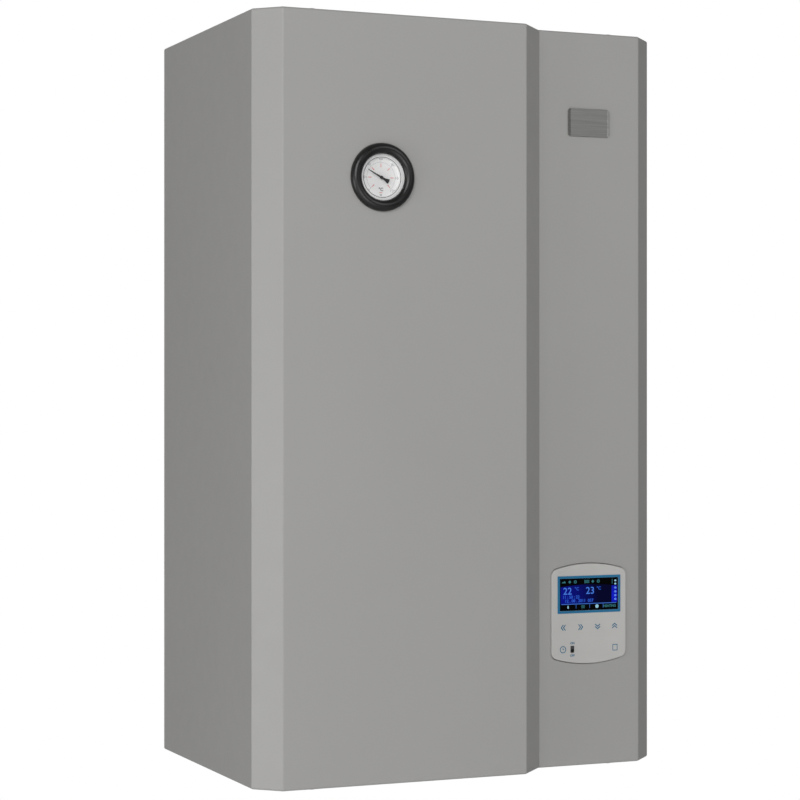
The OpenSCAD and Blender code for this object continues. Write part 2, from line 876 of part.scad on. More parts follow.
module partition() color(zinc) {
  difference() {
    union() {
      block([part_x, part_x + plate_t], [part_front, -back_t], [-back_top_z, back_top_z]);
      block([part_x + plate_t / 2, part_x + control_tab_w],
        [control_tab_y - plate_t, control_tab_y],
        [panel_z - control_tab_h / 2, panel_z + control_tab_h / 2]);
      block([part_x + plate_t / 2, part_x + limiter_tab_w],
        [limiter_tab_y, limiter_tab_y + plate_t],
        [limiter_z - limiter_tab_h / 2, limiter_z + limiter_tab_h / 2]);
    }
    leg([part_x - cut, tank_y, wire_hole_z], [part_x + plate_t + cut, tank_y, wire_hole_z], wire_hole_r);
    for (p = [pump_cable_hole, probe_hole])
      leg([part_x - cut, p[0], p[1]], [part_x + plate_t + cut, p[0], p[1]], cable_hole_r);
    front_disc(panel_x + panel_cable_in, panel_z - panel_cable_down, panel_cable_r,
      control_tab_y + cut, control_tab_y - plate_t - cut);
    front_disc(limiter_x, limiter_z, limiter_neck_r + fit_gap,
      limiter_tab_y + plate_t + cut, limiter_tab_y - cut);
  }
}

// Thermometer
module gauge_bezel() color(black_plastic) {
  translate([gauge_x, bezel_y, gauge_z]) rotate([-90, 0, 0]) rotate_extrude() difference() {
    union() {
      translate([bezel_open_r, bezel_round]) square([bezel_r - bezel_open_r, bezel_len - bezel_round]);
      translate([bezel_open_r + bezel_round, 0])
        square([bezel_r - bezel_open_r - 2 * bezel_round, bezel_len]);
      translate([bezel_r - bezel_round, bezel_round]) circle(r = bezel_round);
      translate([bezel_open_r + bezel_round, bezel_round]) circle(r = bezel_round);
    }
    translate([0, bezel_lip]) square([gauge_r + seat_gap, bezel_len]);
  }
}
module gauge_case() color(zinc) {
  difference() {
    union() {
      front_disc(gauge_x, gauge_z, gauge_r, case_rear_y, case_y);
      front_disc(gauge_x, gauge_z, collar_r, bracket_y - bracket_t, bracket_y - bracket_t - collar_t);
    }
    front_disc(gauge_x, gauge_z, dial_r + fit_gap, dial_y + dial_t, case_y - cut);
    front_disc(gauge_x, gauge_z, gauge_r - 2 * case_wall - cut, case_rear_y - case_wall, case_y);
  }
}
module gauge_dial() color(white_plastic) {
  difference() {
    front_disc(gauge_x, gauge_z, dial_r, dial_y + dial_t, dial_y);
    front_disc(gauge_x, gauge_z, spindle_r + run_gap, dial_y + dial_t + cut, dial_y - cut);
  }
}
module gauge_needle() color(black_plastic) {
  front_slab(gauge_x, gauge_z, needle_y + needle_t, needle_y) rotate([0, 0, needle_angle]) polygon([
    [needle_len, -needle_w / 8], [needle_len, needle_w / 8], [-needle_waist, needle_w / 2],
    [-needle_tail, needle_tail_w / 2], [-needle_tail, -needle_tail_w / 2], [-needle_waist, -needle_w / 2]
  ]);
  front_disc(gauge_x, gauge_z, spindle_r, needle_y + spindle_len, needle_y);
  front_disc(gauge_x, gauge_z, needle_hub_r, needle_y + needle_t, needle_y - needle_t);
}
module gauge_glass() color([0.85, 0.90, 0.92, 0.35]) {
  front_disc(gauge_x, gauge_z, dial_r, case_y, glass_y);
}
module gauge_bracket() color(zinc) {
  difference() {
    union() {
      block([gauge_x - bracket_w / 2, gauge_x + bracket_w / 2], [bracket_y - bracket_t, bracket_y],
        [gauge_z - bracket_below, back_top_z]);
      block([gauge_x - bracket_w / 2, gauge_x + bracket_w / 2],
        [bracket_y - bracket_t / 2, bracket_y + bracket_tab], [back_top_z - bracket_t, back_top_z]);
    }
    front_disc(gauge_x, gauge_z, gauge_r + seat_gap, bracket_y + cut, bracket_y - bracket_t - cut);
  }
}
module gauge_capillary() color(copper_colour) {
  tube(gauge_tube_route, capillary_r, wire_sides);
  from_tank(-90, pocket_heights[0], tank_r + pocket_out - bulb_len, tank_r + pocket_out + bulb_r, bulb_r);
}

// Heating tank
module heater_tank() color(steel) {
  mid_z = (tank_z0 + tank_z1) / 2;
  difference() {
    union() {
      upright(tank_x, tank_y, tank_r, tank_z0, tank_z1);
      upright(tank_x, tank_y, boss_r, mid_z, head_z);
      upright(tank_x, tank_y, tank_drain_r, drain_z1, mid_z);
      from_tank(flow_angle, flow_z, 0, tank_r + socket_out, socket_r);
      from_tank(riser_angle, riser_z, 0, tank_r + socket_out, socket_r);
      for (z = pocket_heights) from_tank(-90, z, 0, tank_r + pocket_out, pocket_r);
    }
    upright(tank_x, tank_y, tank_r - tank_wall, tank_z0 + tank_wall, tank_z1 - tank_wall);
    upright(tank_x, tank_y, boss_bore_r, mid_z, head_z + cut);
    upright(tank_x, tank_y, tank_drain_bore, drain_z1 - cut, mid_z);
    for (p = [[flow_angle, flow_z], [riser_angle, riser_z]]) {
      from_tank(p[0], p[1], 0, tank_r + socket_out, pipe_r - pipe_wall);
      from_tank(p[0], p[1], tank_r + pipe_in, tank_r + socket_out + cut, pipe_r + run_gap);
    }
    for (z = pocket_heights)
      from_tank(-90, z, tank_r - pocket_in, tank_r + pocket_out + cut, pocket_bore_r);
  }
  for (z = pocket_heights) difference() {
    from_tank(-90, z, tank_r - pocket_in - tank_wall, tank_r - tank_wall / 2, pocket_r);
    from_tank(-90, z, tank_r - pocket_in, tank_r, pocket_bore_r);
  }
}
module tank_jacket() color(foam) {
  difference() {
    upright(tank_x, tank_y, jacket_r, tank_z0 + jacket_in, tank_z1 - jacket_in);
    upright(tank_x, tank_y, tank_r + seat_gap, tank_z0, tank_z1);
    from_tank(flow_angle, flow_z, 0, jacket_r + cut, socket_r + fit_gap);
    from_tank(riser_angle, riser_z, 0, jacket_r + cut, socket_r + fit_gap);
    for (z = pocket_heights) from_tank(-90, z, 0, jacket_r + cut, pocket_r + fit_gap);
    block([tank_x - jacket_r - cut, tank_x + jacket_r + cut],
      [tank_y - jacket_split / 2, tank_y + jacket_split / 2], [tank_z0, tank_z1]);
  }
}
module tank_clamps() color(zinc) {
  for (z = clamp_heights) difference() {
    union() {
      upright(tank_x, tank_y, jacket_r + clamp_t, z - clamp_h / 2, z + clamp_h / 2);
      block([tank_x + jacket_r - saddle_reach, part_x], [tank_y - saddle_half, tank_y + saddle_half],
        [z - clamp_h / 2, z + clamp_h / 2]);
    }
    upright(tank_x, tank_y, jacket_r + seat_gap, z - clamp_h, z + clamp_h);
  }
}
module rod_places() {
  for (k = [0:rod_count - 1]) translate([tank_x, tank_y, 0])
    rotate([0, 0, 360 * k / rod_count]) translate([0, rod_ring_r, 0]) children();
}
module heater_head() color(brass_colour) {
  difference() {
    union() {
      hexagon(tank_x, tank_y, head_r, head_z, head_z + head_h);
      upright(tank_x, tank_y, boss_bore_r - seat_gap, tank_z1, head_z);
    }
    rod_places() for (x = [-rod_leg, rod_leg])
      upright(x, 0, rod_r + run_gap, tank_z1 - cut, head_z + head_h + cut);
  }
}
module heating_rods() color(copper_colour) {
  rod_top = head_z + head_h + rod_above;
  rod_places() {
    for (x = [-rod_leg, rod_leg]) {
      upright(x, 0, rod_r, rod_low, rod_top);
      upright(x, 0, stud_r, rod_top, rod_top + stud_h);
    }
    translate([0, 0, rod_low]) rotate([-90, 0, 0])
      rotate_extrude(angle = 180) translate([rod_leg, 0]) circle(r = rod_r);
  }
}
module star_link() color(copper_colour) {
  leg_angle = atan2(rod_leg, rod_ring_r);
  eyes = [for (a = [90 + leg_angle, 210 - leg_angle, 210 + leg_angle])
    [tank_x + stud_ring_r * cos(a), tank_y + stud_ring_r * sin(a)]];
  translate([0, 0, link_z]) linear_extrude(link_t) difference() {
    union() {
      for (p = eyes) translate(p) circle(r = link_eye_r);
      for (i = [0, 1]) let (d = eyes[i + 1] - eyes[i])
        translate(eyes[i]) rotate([0, 0, heading(d)])
          translate([0, -link_w / 2]) square([norm(d), link_w]);
    }
    for (p = eyes) translate(p) circle(r = stud_r + seat_gap);
  }
}
module drain_valve() color(brass_colour) {
  difference() {
    union() {
      upright(tank_x, tank_y, drain_body_r, drain_z1 - drain_body_h, drain_z1);
      upright(tank_x, tank_y, drain_tail_r, drain_z1 - drain_body_h - drain_tail_h, drain_z1 - cut);
      front_disc(tank_x, drain_knob_z, drain_boss_r, tank_y, tank_y - drain_boss_out);
    }
    upright(tank_x, tank_y, drain_tail_r - pipe_wall, drain_z1 - drain_body_h - drain_tail_h - cut,
      drain_z1 + cut);
  }
  front_disc(tank_x, drain_knob_z, drain_pin_r, tank_y - drain_boss_out + cut,
    tank_y - drain_boss_out - drain_pin_len);
}
module drain_knob() color(red_paint) {
  y0 = tank_y - drain_boss_out - knob_gap;
  difference() {
    front_disc(tank_x, drain_knob_z, drain_knob_r, y0, y0 - drain_knob_h);
    front_disc(tank_x, drain_knob_z, drain_pin_r + run_gap, y0 + cut, y0 - drain_pin_len);
    for (a = [0:45:359]) translate([tank_x, 0, drain_knob_z]) rotate([0, a, 0])
      front_disc(drain_knob_r + knob_pin_r / 2, 0, knob_pin_r, y0 + cut, y0 - drain_knob_h - cut);
  }
}

// Pump
module pump_volute() color(dark_grey) {
  difference() {
    union() {
      front_disc(pump_x, pump_z, volute_r, volute_y0, volute_y1);
      upright(pump_x, pump_y, port_r, pump_bottom, pump_top);
    }
    front_disc(pump_x, pump_z, chamber_r, volute_y0 - volute_wall, volute_y1 - cut);
    upright(pump_x, pump_y, port_bore_r, pump_bottom - cut, pump_top + cut);
  }
}
module pump_motor() color(red_paint) {
  difference() {
    union() {
      front_disc(pump_x, pump_z, volute_r, volute_y1, volute_y1 - motor_flange_t);
      front_disc(pump_x, pump_z, motor_r, volute_y1, motor_y1);
    }
    front_disc(pump_x, pump_z, shaft_r + run_gap, volute_y1 + cut, motor_y1 + rotor_back);
    front_disc(pump_x, pump_z, rotor_cavity_r, volute_y1 - rotor_front, motor_y1 + rotor_back);
  }
}
module pump_rotor() color(steel) {
  front_disc(pump_x, pump_z, shaft_r, impeller_y, motor_y1 + rotor_back + seat_gap);
  front_disc(pump_x, pump_z, rotor_r, volute_y1 - rotor_front - cut, motor_y1 + rotor_back + cut);
  front_disc(pump_x, pump_z, impeller_r, impeller_y, impeller_y - impeller_t);
}
module pump_terminal_box() color(black_plastic) {
  difference() {
    block([pump_x - box_w / 2, pump_x + box_w / 2], [box_y1, box_y0], [pump_z, box_z1]);
    front_disc(pump_x, pump_z, motor_r + seat_gap, box_y0 + cut, box_y1 - cut);
    block([pump_x - box_w, pump_x + box_w], [box_y1 - cut, box_y0 + cut],
      [pump_z - box_h, box_z1 - box_h - pipe_wall]);
    front_disc(pump_x, knob_z, knob_pin_r + run_gap, box_y1 + knob_pin_len + cut, box_y1 - cut);
  }
}
module pump_speed_knob() color(red_paint) {
  front_disc(pump_x, knob_z, knob_r, box_y1 - knob_gap, box_y1 - knob_gap - knob_h);
  front_disc(pump_x, knob_z, knob_pin_r, box_y1 + knob_pin_len, box_y1 - knob_gap);
  block([pump_x - knob_r * cos(30), pump_x + knob_r * cos(30)],
    [box_y1 - knob_gap - knob_h - knob_grip_t, box_y1 - knob_gap - knob_h],
    [knob_z - knob_grip_w / 2, knob_z + knob_grip_w / 2]);
}
module union_nuts() color(brass_colour) {
  for (side = [0, 1]) translate([pump_x, pump_y, pump_z]) mirror([0, 0, side]) difference() {
    hexagon(0, 0, nut_r, pump_len / 2 - nut_over, pump_len / 2 + nut_beyond);
    upright(0, 0, port_r + seat_gap, pump_len / 2 - nut_over - cut, pump_len / 2 + nut_beyond - nut_lip);
    upright(0, 0, pipe_r + fit_gap, 0, pump_len / 2 + nut_beyond + cut);
  }
}

// Pipes
module bored_pipe(route, r, wall, bend) {
  last = len(route) - 1;
  inner = [for (i = [0:last])
    i == 0 ? route[0] - cut * unit(route[1] - route[0])
      : i == last ? route[last] + cut * unit(route[last] - route[last - 1]) : route[i]];
  difference() {
    union() {
      pipe(route, r, bend);
      children();
    }
    pipe(inner, r - wall, bend);
  }
}
module stub(x) {
  upright(x, pump_y, stub_r, stub_end, stub_thread_top);
  upright(x, pump_y, stub_neck_r, stub_end, stub_top);
}
module riser_pipe() color(copper_colour) {
  reach = norm([tank_x - pump_x, tank_y - pump_y]) - tank_r - pipe_in;
  route = [[0, 0, pump_top], [0, 0, riser_z], [reach, 0, riser_z]];
  translate([pump_x, pump_y, 0]) rotate([0, 0, riser_angle + 180])
    bored_pipe(route, pipe_r, pipe_wall, riser_bend)
      upright(0, 0, pipe_collar_r, pump_top, pump_top + collar_len);
}
module flow_pipe() color(copper_colour) {
  radial = [cos(flow_angle), sin(flow_angle), 0];
  tank_end = [tank_x, tank_y, flow_z] + radial * (tank_r + pipe_in);
  column = [column_x, column_y, flow_z];
  main = [
    [column_x, column_y, column_top], [column_x, column_y, column_low],
    [column_x, pump_y, column_low], [column_x, pump_y, stub_end]
  ];
  branch = [
    [column_x, column_y, relief_z], [relief_x, column_y, relief_z], [relief_x, column_y, relief_top]
  ];
  difference() {
    union() {
      pipe(main, pipe_r, pipe_bend);
      leg(tank_end, column, pipe_r);
      upright(column_x, column_y, tee_sleeve_r, flow_z - tee_sleeve_half, flow_z + tee_sleeve_half);
      pipe(branch, tee_r, relief_bend);
      stub(column_x);
    }
    pipe([main[0] + [0, 0, cut], main[1], main[2], main[3] - [0, 0, cut]], pipe_r - pipe_wall, pipe_bend);
    leg(tank_end - radial * cut, column, tee_r - pipe_wall);
    pipe([branch[0], branch[1], branch[2] + [0, 0, cut]], tee_r - pipe_wall, relief_bend);
  }
}
module return_pipe() color(copper_colour) {
  difference() {
    union() {
      upright(pump_x, pump_y, pipe_r, stub_end, pump_bottom);
      upright(pump_x, pump_y, pipe_collar_r, pump_bottom - collar_len, pump_bottom);
      stub(pump_x);
      leg([pump_x, pump_y, tee_z], [pump_x - tee_out, pump_y, tee_z], tee_r);
    }
    upright(pump_x, pump_y, pipe_r - pipe_wall, stub_end - cut, pump_bottom + cut);
    leg([pump_x, pump_y, tee_z], [pump_x - tee_out - cut, pump_y, tee_z], hose_r - pipe_wall);
  }
}
module air_vent() color(brass_colour) {
  difference() {
    union() {
      hexagon(column_x, column_y, vent_base_r, column_top, column_top + vent_base_h);
      upright(column_x, column_y, vent_r, column_top + vent_base_h, column_top + vent_h);
      upright(column_x, column_y, vent_neck_r, column_top + vent_h, column_top + vent_h + vent_neck_h);
    }
    upright(column_x, column_y, stud_r, column_top - cut, column_top + vent_h + vent_neck_h + cut);
  }
}
module air_vent_cap() color(black_plastic) {
  difference() {
    upright(column_x, column_y, vent_cap_r, vent_cap_z, vent_cap_z + vent_cap_h);
    upright(column_x, column_y, vent_neck_r + run_gap, vent_cap_z - cut, vent_cap_z + vent_neck_h);
    for (a = [0:45:359]) translate([column_x, column_y, 0]) rotate([0, 0, a])
      upright(vent_cap_r, 0, stud_r / 2, vent_cap_z - cut, vent_cap_z + vent_cap_h + cut);
  }
}
module safety_valve() color(brass_colour) {
  body_z = relief_top + valve_base_h;
  difference() {
    union() {
      hexagon(relief_x, column_y, valve_base_r, relief_top, body_z);
      upright(relief_x, column_y, valve_body_r, body_z, body_z + valve_body_h);
      upright(relief_x, column_y, bonnet_r, body_z + valve_body_h, bonnet_top);
      upright(relief_x, column_y, valve_pin_r, bonnet_top, bonnet_top + valve_pin_h);
      leg([relief_x, column_y, outlet_z], [relief_x - outlet_out, column_y, outlet_z], outlet_r);
    }
    upright(relief_x, column_y, tee_r - pipe_wall, relief_top - cut, outlet_z);
    leg([relief_x, column_y, outlet_z], [relief_x - outlet_seat, column_y, outlet_z],
      drain_r - discharge_wall);
    leg([relief_x - outlet_seat, column_y, outlet_z], [relief_x - outlet_out - cut, column_y, outlet_z],
      drain_r + run_gap);
  }
}
module safety_knob() color(red_paint) {
  z0 = bonnet_top + knob_gap;
  difference() {
    upright(relief_x, column_y, valve_knob_r, z0, z0 + valve_knob_h);
    upright(relief_x, column_y, valve_pin_r + run_gap, z0 - cut, z0 + valve_pin_h);
    for (a = [0:30:359]) translate([relief_x, column_y, 0]) rotate([0, 0, a])
      upright(valve_knob_r, 0, stud_r, z0 - cut, z0 + valve_knob_h + cut);
  }
}
module discharge_pipe() color(copper_colour) {
  route = [
    [relief_x - outlet_seat, column_y, outlet_z], [discharge_x, column_y, outlet_z],
    [discharge_x, column_y, discharge_low], [discharge_x, pump_y, discharge_low],
    [discharge_tip_x, pump_y, discharge_low], [discharge_tip_x, pump_y, discharge_end]
  ];
  bored_pipe(route, drain_r, discharge_wall, relief_bend)
    upright(discharge_tip_x, pump_y, discharge_tip_r, discharge_end, discharge_tip_z);
}

// Expansion vessel
module vessel_pan(y_rear, y_near, y_wall0, y_wall1) {
  difference() {
    front_slab(vessel_x, vessel_z, y_rear, y_near)
      polygon(round_rect(vessel_w - 2 * vessel_rim, vessel_h - 2 * vessel_rim, vessel_r, bend_steps));
    front_slab(vessel_x, vessel_z, y_wall0, y_wall1)
      polygon(round_rect(vessel_w - 2 * vessel_rim - 2 * vessel_wall,
        vessel_h - 2 * vessel_rim - 2 * vessel_wall, vessel_r - vessel_wall, bend_steps));
  }
}
module vessel_rim_ring(y_rear, y_near) {
  difference() {
    front_slab(vessel_x, vessel_z, y_rear, y_near)
      polygon(round_rect(vessel_w, vessel_h, vessel_r + vessel_rim / 2, bend_steps));
    front_slab(vessel_x, vessel_z, y_rear + cut, y_near - cut)
      polygon(round_rect(vessel_w - 2 * vessel_rim - vessel_wall, vessel_h - 2 * vessel_rim - vessel_wall,
        vessel_r, bend_steps));
  }
}
module vessel_shells() color(red_paint) {
  y1 = vessel_y - vessel_d;
  joint_rear = vessel_mid_y + membrane_t / 2;
  joint_near = vessel_mid_y - membrane_t / 2;
  port_top = vessel_z0 + vessel_rim + vessel_wall / 2;
  difference() {
    union() {
      vessel_pan(vessel_y, joint_rear, vessel_y - vessel_wall, joint_rear - cut);
      vessel_rim_ring(joint_rear + vessel_rim_t, joint_rear);
      upright(vessel_x0 + valve_in, (vessel_y + joint_rear) / 2, valve_r,
        vessel_z0 + vessel_h - vessel_rim - vessel_wall / 2, vessel_z0 + vessel_h + valve_len);
    }
  }
  difference() {
    union() {
      vessel_pan(joint_near, y1, joint_near + cut, y1 + vessel_wall);
      vessel_rim_ring(joint_near, joint_near - vessel_rim_t);
      upright(vessel_port_x, pump_y, vessel_port_r, vessel_z0 - vessel_port_len, port_top);
    }
    upright(vessel_port_x, pump_y, hose_r - pipe_wall, vessel_z0 - vessel_port_len - cut, port_top + cut);
  }
}
module vessel_membrane() color(black_plastic) {
  front_slab(vessel_x, vessel_z, vessel_mid_y + membrane_t / 2, vessel_mid_y - membrane_t / 2)
    polygon(round_rect(vessel_w, vessel_h, vessel_r + vessel_rim / 2, bend_steps));
}
module vessel_hose() color(steel) {
  top = vessel_z0 - vessel_port_len;
  route = [
    [vessel_port_x, pump_y, top], [vessel_port_x, pump_y, tee_z], [pump_x - tee_out, pump_y, tee_z]
  ];
  bored_pipe(route, hose_r, pipe_wall, hose_bend) {
    hexagon(vessel_port_x, pump_y, hose_nut_r, top - hose_nut_len, top);
    translate([pump_x - tee_out, pump_y, tee_z]) rotate([0, -90, 0])
      cylinder(r = hose_nut_r, h = hose_nut_len, $fn = 6);
  }
}

// Control unit
module panel_outline(grow = 0) {
  polygon(bowed_rect(panel_w + 2 * grow, panel_h + 2 * grow, panel_bow, panel_r + grow, bend_steps));
}
module control_fascia() color(light_grey) {
  difference() {
    front_slab(panel_x, panel_z, fascia_rear, panel_y) panel_outline();
    front_slab(panel_x, panel_z + display_up, panel_y + display_t, panel_y - cut)
      square([display_w + 2 * display_gap, display_h + 2 * display_gap], center = true);
    front_slab(panel_x, panel_z + display_up, fascia_rear + cut, panel_y)
      square([display_w - 2 * window_edge, display_h - 2 * window_edge], center = true);
    for (p = key_places)
      front_disc(panel_x + p[0], panel_z + p[1], key_r + key_gap, fascia_rear + cut, panel_y - cut);
    front_slab(panel_x + switch_x, panel_z + low_row, fascia_rear + cut, panel_y - cut)
      square([switch_w, switch_h], center = true);
  }
}
module control_housing() color(light_grey) {
  rear = control_tab_y - plate_t;
  difference() {
    front_slab(panel_x, panel_z, rear, fascia_rear) square([housing_w, housing_h], center = true);
    front_slab(panel_x, panel_z, rear - housing_wall, fascia_rear - cut)
      square([housing_w - 2 * housing_wall, housing_h - 2 * housing_wall], center = true);
    front_disc(panel_x + panel_cable_in, panel_z - panel_cable_down, panel_cable_r, rear + cut,
      rear - housing_wall - cut);
  }
  for (x = [-1, 1], z = [-1, 1])
    front_disc(panel_x + x * (pcb_w / 2 - pillar_r), panel_z + z * (pcb_h / 2 - pillar_r), pillar_r / 2,
      rear - housing_wall / 2, pcb_y + pcb_t);
}
module display_glass() color([0.02, 0.03, 0.06]) {
  front_slab(panel_x, panel_z + display_up, panel_y + display_t, panel_y)
    square([display_w, display_h], center = true);
}
module control_board() color(board_green) {
  front_slab(panel_x, panel_z, pcb_y + pcb_t, pcb_y) square([pcb_w, pcb_h], center = true);
  front_slab(panel_x, panel_z + display_up, pcb_y + pcb_t / 2, fascia_rear + key_rim_gap)
    square([module_w, module_h], center = true);
}
module key_at(i) {
  x = panel_x + key_places[i][0];
  z = panel_z + key_places[i][1];
  rim_y = fascia_rear + key_rim_gap;
  front_disc(x, z, key_r, rim_y, panel_y);
  front_disc(x, z, key_r + key_rim, rim_y + key_rim_t, rim_y);
  front_disc(x, z, key_stem_r, pcb_y - key_stem_gap, rim_y);
}
module key_left() color(light_grey) key_at(0);
module key_right() color(light_grey) key_at(1);
module key_down() color(light_grey) key_at(2);
module key_up() color(light_grey) key_at(3);
module key_clock() color(light_grey) key_at(4);
module key_square() color(light_grey) key_at(5);
module power_switch() color(dark_grey) {
  x = panel_x + switch_x;
  z = panel_z + low_row + switch_h / 2 - key_gap - switch_knob_h / 2;
  plate_y = fascia_rear + key_rim_gap;
  front_slab(x, z, plate_y, panel_y + switch_in)
    square([switch_w - 2 * key_gap, switch_knob_h], center = true);
  front_slab(x, z, plate_y + switch_plate_t, plate_y)
    square([switch_plate_w, switch_plate_h], center = true);
}

// Electric side
module din_rail() color(zinc) {
  x = [rail_x0, rail_x0 + rail_len];
  half = rail_h / 2;
  base = rail_base_h / 2;
  block(x, [-back_t - rail_t, -back_t], [rail_z - base, rail_z + base]);
  for (side = [-1, 1]) {
    web = [min(side * base, side * (base - rail_t)), max(side * base, side * (base - rail_t))];
    lip = [min(side * (base - rail_t), side * half), max(side * (base - rail_t), side * half)];
    block(x, [rail_front, -back_t], [rail_z + web[0], rail_z + web[1]]);
    block(x, [rail_front, rail_front + rail_t], [rail_z + lip[0], rail_z + lip[1]]);
  }
}
module mains_terminals() color(light_grey) {
  for (i = [0:terminal_count - 1]) {
    x0 = terminal_x0 + i * (terminal_w + terminal_gap);
    mid = x0 + terminal_w / 2;
    difference() {
      block([x0, x0 + terminal_w], [rail_front - terminal_d, rail_front],
        [rail_z - terminal_h / 2, rail_z + terminal_h / 2]);
      for (side = [-1, 1]) {
        front_disc(mid, rail_z + side * terminal_h / 4, terminal_screw_r,
          rail_front - terminal_d + terminal_w, rail_front - terminal_d - cut);
        notch_z = rail_z + side * terminal_h / 2;
        block([x0 - cut, x0 + terminal_w + cut],
          [rail_front - terminal_d - cut, rail_front - terminal_d + terminal_w / 2],
          [notch_z - terminal_w / 3, notch_z + terminal_w / 3]);
      }
    }
  }
}
module contactor() color(dark_grey) {
  x = [contactor_x0, contactor_x0 + contactor_w];
  block(x, [rail_front - contactor_d + contactor_step, rail_front],
    [rail_z - contactor_h / 2, rail_z + contactor_h / 2]);
  block(x, [rail_front - contactor_d, rail_front - contactor_d + contactor_step + cut],
    [rail_z - contactor_h / 2 + contactor_step, rail_z + contactor_h / 2 - contactor_step]);
}
module power_board() color(board_green) {
  x = [board_x0, board_x0 + board_w];
  block(x, [board_front, board_y], [board_z0, board_z0 + board_h]);
  for (px = [x[0] + pillar_in, x[1] - pillar_in])
    for (pz = [board_z0 + pillar_in, board_z0 + board_h - pillar_in])
      front_disc(px, pz, pillar_r, -back_t, board_y);
  for (i = [0:relay_count - 1])
    let (relay_x = x[0] + (i + 0.5) * board_w / relay_count)
      block([relay_x - relay_w / 2, relay_x + relay_w / 2], [board_front - relay_d, board_front],
        [board_z0 + board_h / 2, board_z0 + board_h / 2 + relay_h]);
}
module heat_sink() color(zinc) {
  block([sink_x0, sink_x0 + sink_w], [-back_t - sink_base, -back_t], [sink_z0, sink_z0 + sink_h]);
  for (i = [0:fin_count - 1]) {
    x = sink_x0 + i * (sink_w - fin_t) / (fin_count - 1);
    block([x, x + fin_t], [-back_t - sink_d, -back_t - sink_base / 2], [sink_z0, sink_z0 + sink_h]);
  }
}
module limiter() color(black_plastic) {
  y0 = limiter_tab_y + plate_t;
  difference() {
    union() {
      block([limiter_x - limiter_w / 2, limiter_x + limiter_w / 2], [y0, y0 + limiter_d],
        [limiter_z - limiter_h / 2, limiter_z + limiter_h / 2]);
      front_disc(limiter_x, limiter_z, limiter_neck_r, y0 + cut, y0 - limiter_neck);
    }
    front_disc(limiter_x, limiter_z, button_r + run_gap, y0 - limiter_neck + button_r + button_travel,
      y0 - limiter_neck - cut);
  }
}
module limiter_button() color(red_paint) {
  y1 = limiter_tab_y + plate_t - limiter_neck;
  front_disc(limiter_x, limiter_z, button_r, y1 + button_r - knob_gap, y1 - button_out);
}
module cable_glands() color(black_plastic) {
  for (x = gland_places) difference() {
    union() {
      hexagon(x, gland_y, gland_r, -plate_top_z - gland_flange, -plate_top_z);
      upright(x, gland_y, gland_dome_r, -plate_top_z - gland_flange - gland_dome,
        -plate_top_z - gland_flange);
      upright(x, gland_y, gland_thread_r, -plate_top_z - cut, -back_top_z + gland_nut_h);
      hexagon(x, gland_y, gland_r, -back_top_z, -back_top_z + gland_nut_h);
    }
    upright(x, gland_y, gland_bore_r, -plate_top_z - gland_flange - gland_dome - cut,
      -back_top_z + gland_nut_h + cut);
  }
}
module power_wires() color(dark_grey) {
  for (route = concat(contactor_wire_routes, rod_wire_routes)) tube(route, wire_r, wire_sides);
}
module signal_cables() color(black_plastic) {
  tube(pump_cable_route, cable_r, wire_sides);
  tube(panel_cable_route, cable_r, wire_sides);
  tube(limiter_tube_route, capillary_r, wire_sides);
  from_tank(-90, pocket_heights[1], tank_r + pocket_out - bulb_len, tank_r + pocket_out + bulb_r, bulb_r);
}

front_cover();
badge_plate();
cover_screws();
back_plate();
top_plate();
bottom_plate();
partition();
gauge_case();
gauge_bezel();
gauge_dial();
gauge_needle();
gauge_glass();
gauge_bracket();
gauge_capillary();
heater_tank();
tank_jacket();
tank_clamps();
heater_head();
heating_rods();
star_link();
drain_valve();
drain_knob();
pump_volute();
pump_motor();
pump_rotor();
pump_terminal_box();
pump_speed_knob();
union_nuts();
riser_pipe();
flow_pipe();
return_pipe();
air_vent();
air_vent_cap();
safety_valve();
safety_knob();
discharge_pipe();
vessel_shells();
vessel_membrane();
vessel_hose();
control_housing();
control_fascia();
display_glass();
control_board();
key_left();
key_right();
key_down();
key_up();
key_clock();
key_square();
power_switch();
din_rail();
mains_terminals();
contactor();
power_board();
heat_sink();
limiter();
limiter_button();
cable_glands();
power_wires();
signal_cables();
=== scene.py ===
"""Electric heating boiler: the finish of its casing, thermometer, control unit and inner works.

Every new piece is a surface worked out from a formula, in metres, with X to the right, Y into the
wall and Z up. The origin lies on the wall at the middle of the casing.
"""

import math

import bmesh
import bpy
import numpy as np
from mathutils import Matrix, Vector


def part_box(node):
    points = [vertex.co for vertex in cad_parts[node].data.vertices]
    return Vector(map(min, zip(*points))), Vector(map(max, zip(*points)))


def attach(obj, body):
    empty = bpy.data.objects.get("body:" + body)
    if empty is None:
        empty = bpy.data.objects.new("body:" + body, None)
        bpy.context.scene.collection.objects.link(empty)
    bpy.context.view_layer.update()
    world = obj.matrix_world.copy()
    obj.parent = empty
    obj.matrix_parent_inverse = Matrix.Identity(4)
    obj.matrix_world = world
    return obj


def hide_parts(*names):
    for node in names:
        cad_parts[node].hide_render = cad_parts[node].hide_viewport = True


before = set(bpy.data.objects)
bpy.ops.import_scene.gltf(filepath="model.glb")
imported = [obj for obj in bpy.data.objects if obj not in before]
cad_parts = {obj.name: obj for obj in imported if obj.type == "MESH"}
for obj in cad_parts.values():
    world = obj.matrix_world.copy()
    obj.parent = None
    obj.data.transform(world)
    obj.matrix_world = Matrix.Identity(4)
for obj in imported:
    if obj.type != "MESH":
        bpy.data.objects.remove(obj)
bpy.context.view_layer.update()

bl_info = {
    "name": "Electric heating boiler",
    "version": (1, 0, 0),
    "blender": (4, 5, 0),
    "location": "3D View > Sidebar > Boiler",
    "description": "Casing, thermometer, control unit and inner works of a wall-hung boiler",
    "category": "Object",
}

MM = 0.001
# Print reaches SINK into its surface and stands LAYER proud of it.
SINK = 0.02 * MM
LAYER = 0.03 * MM
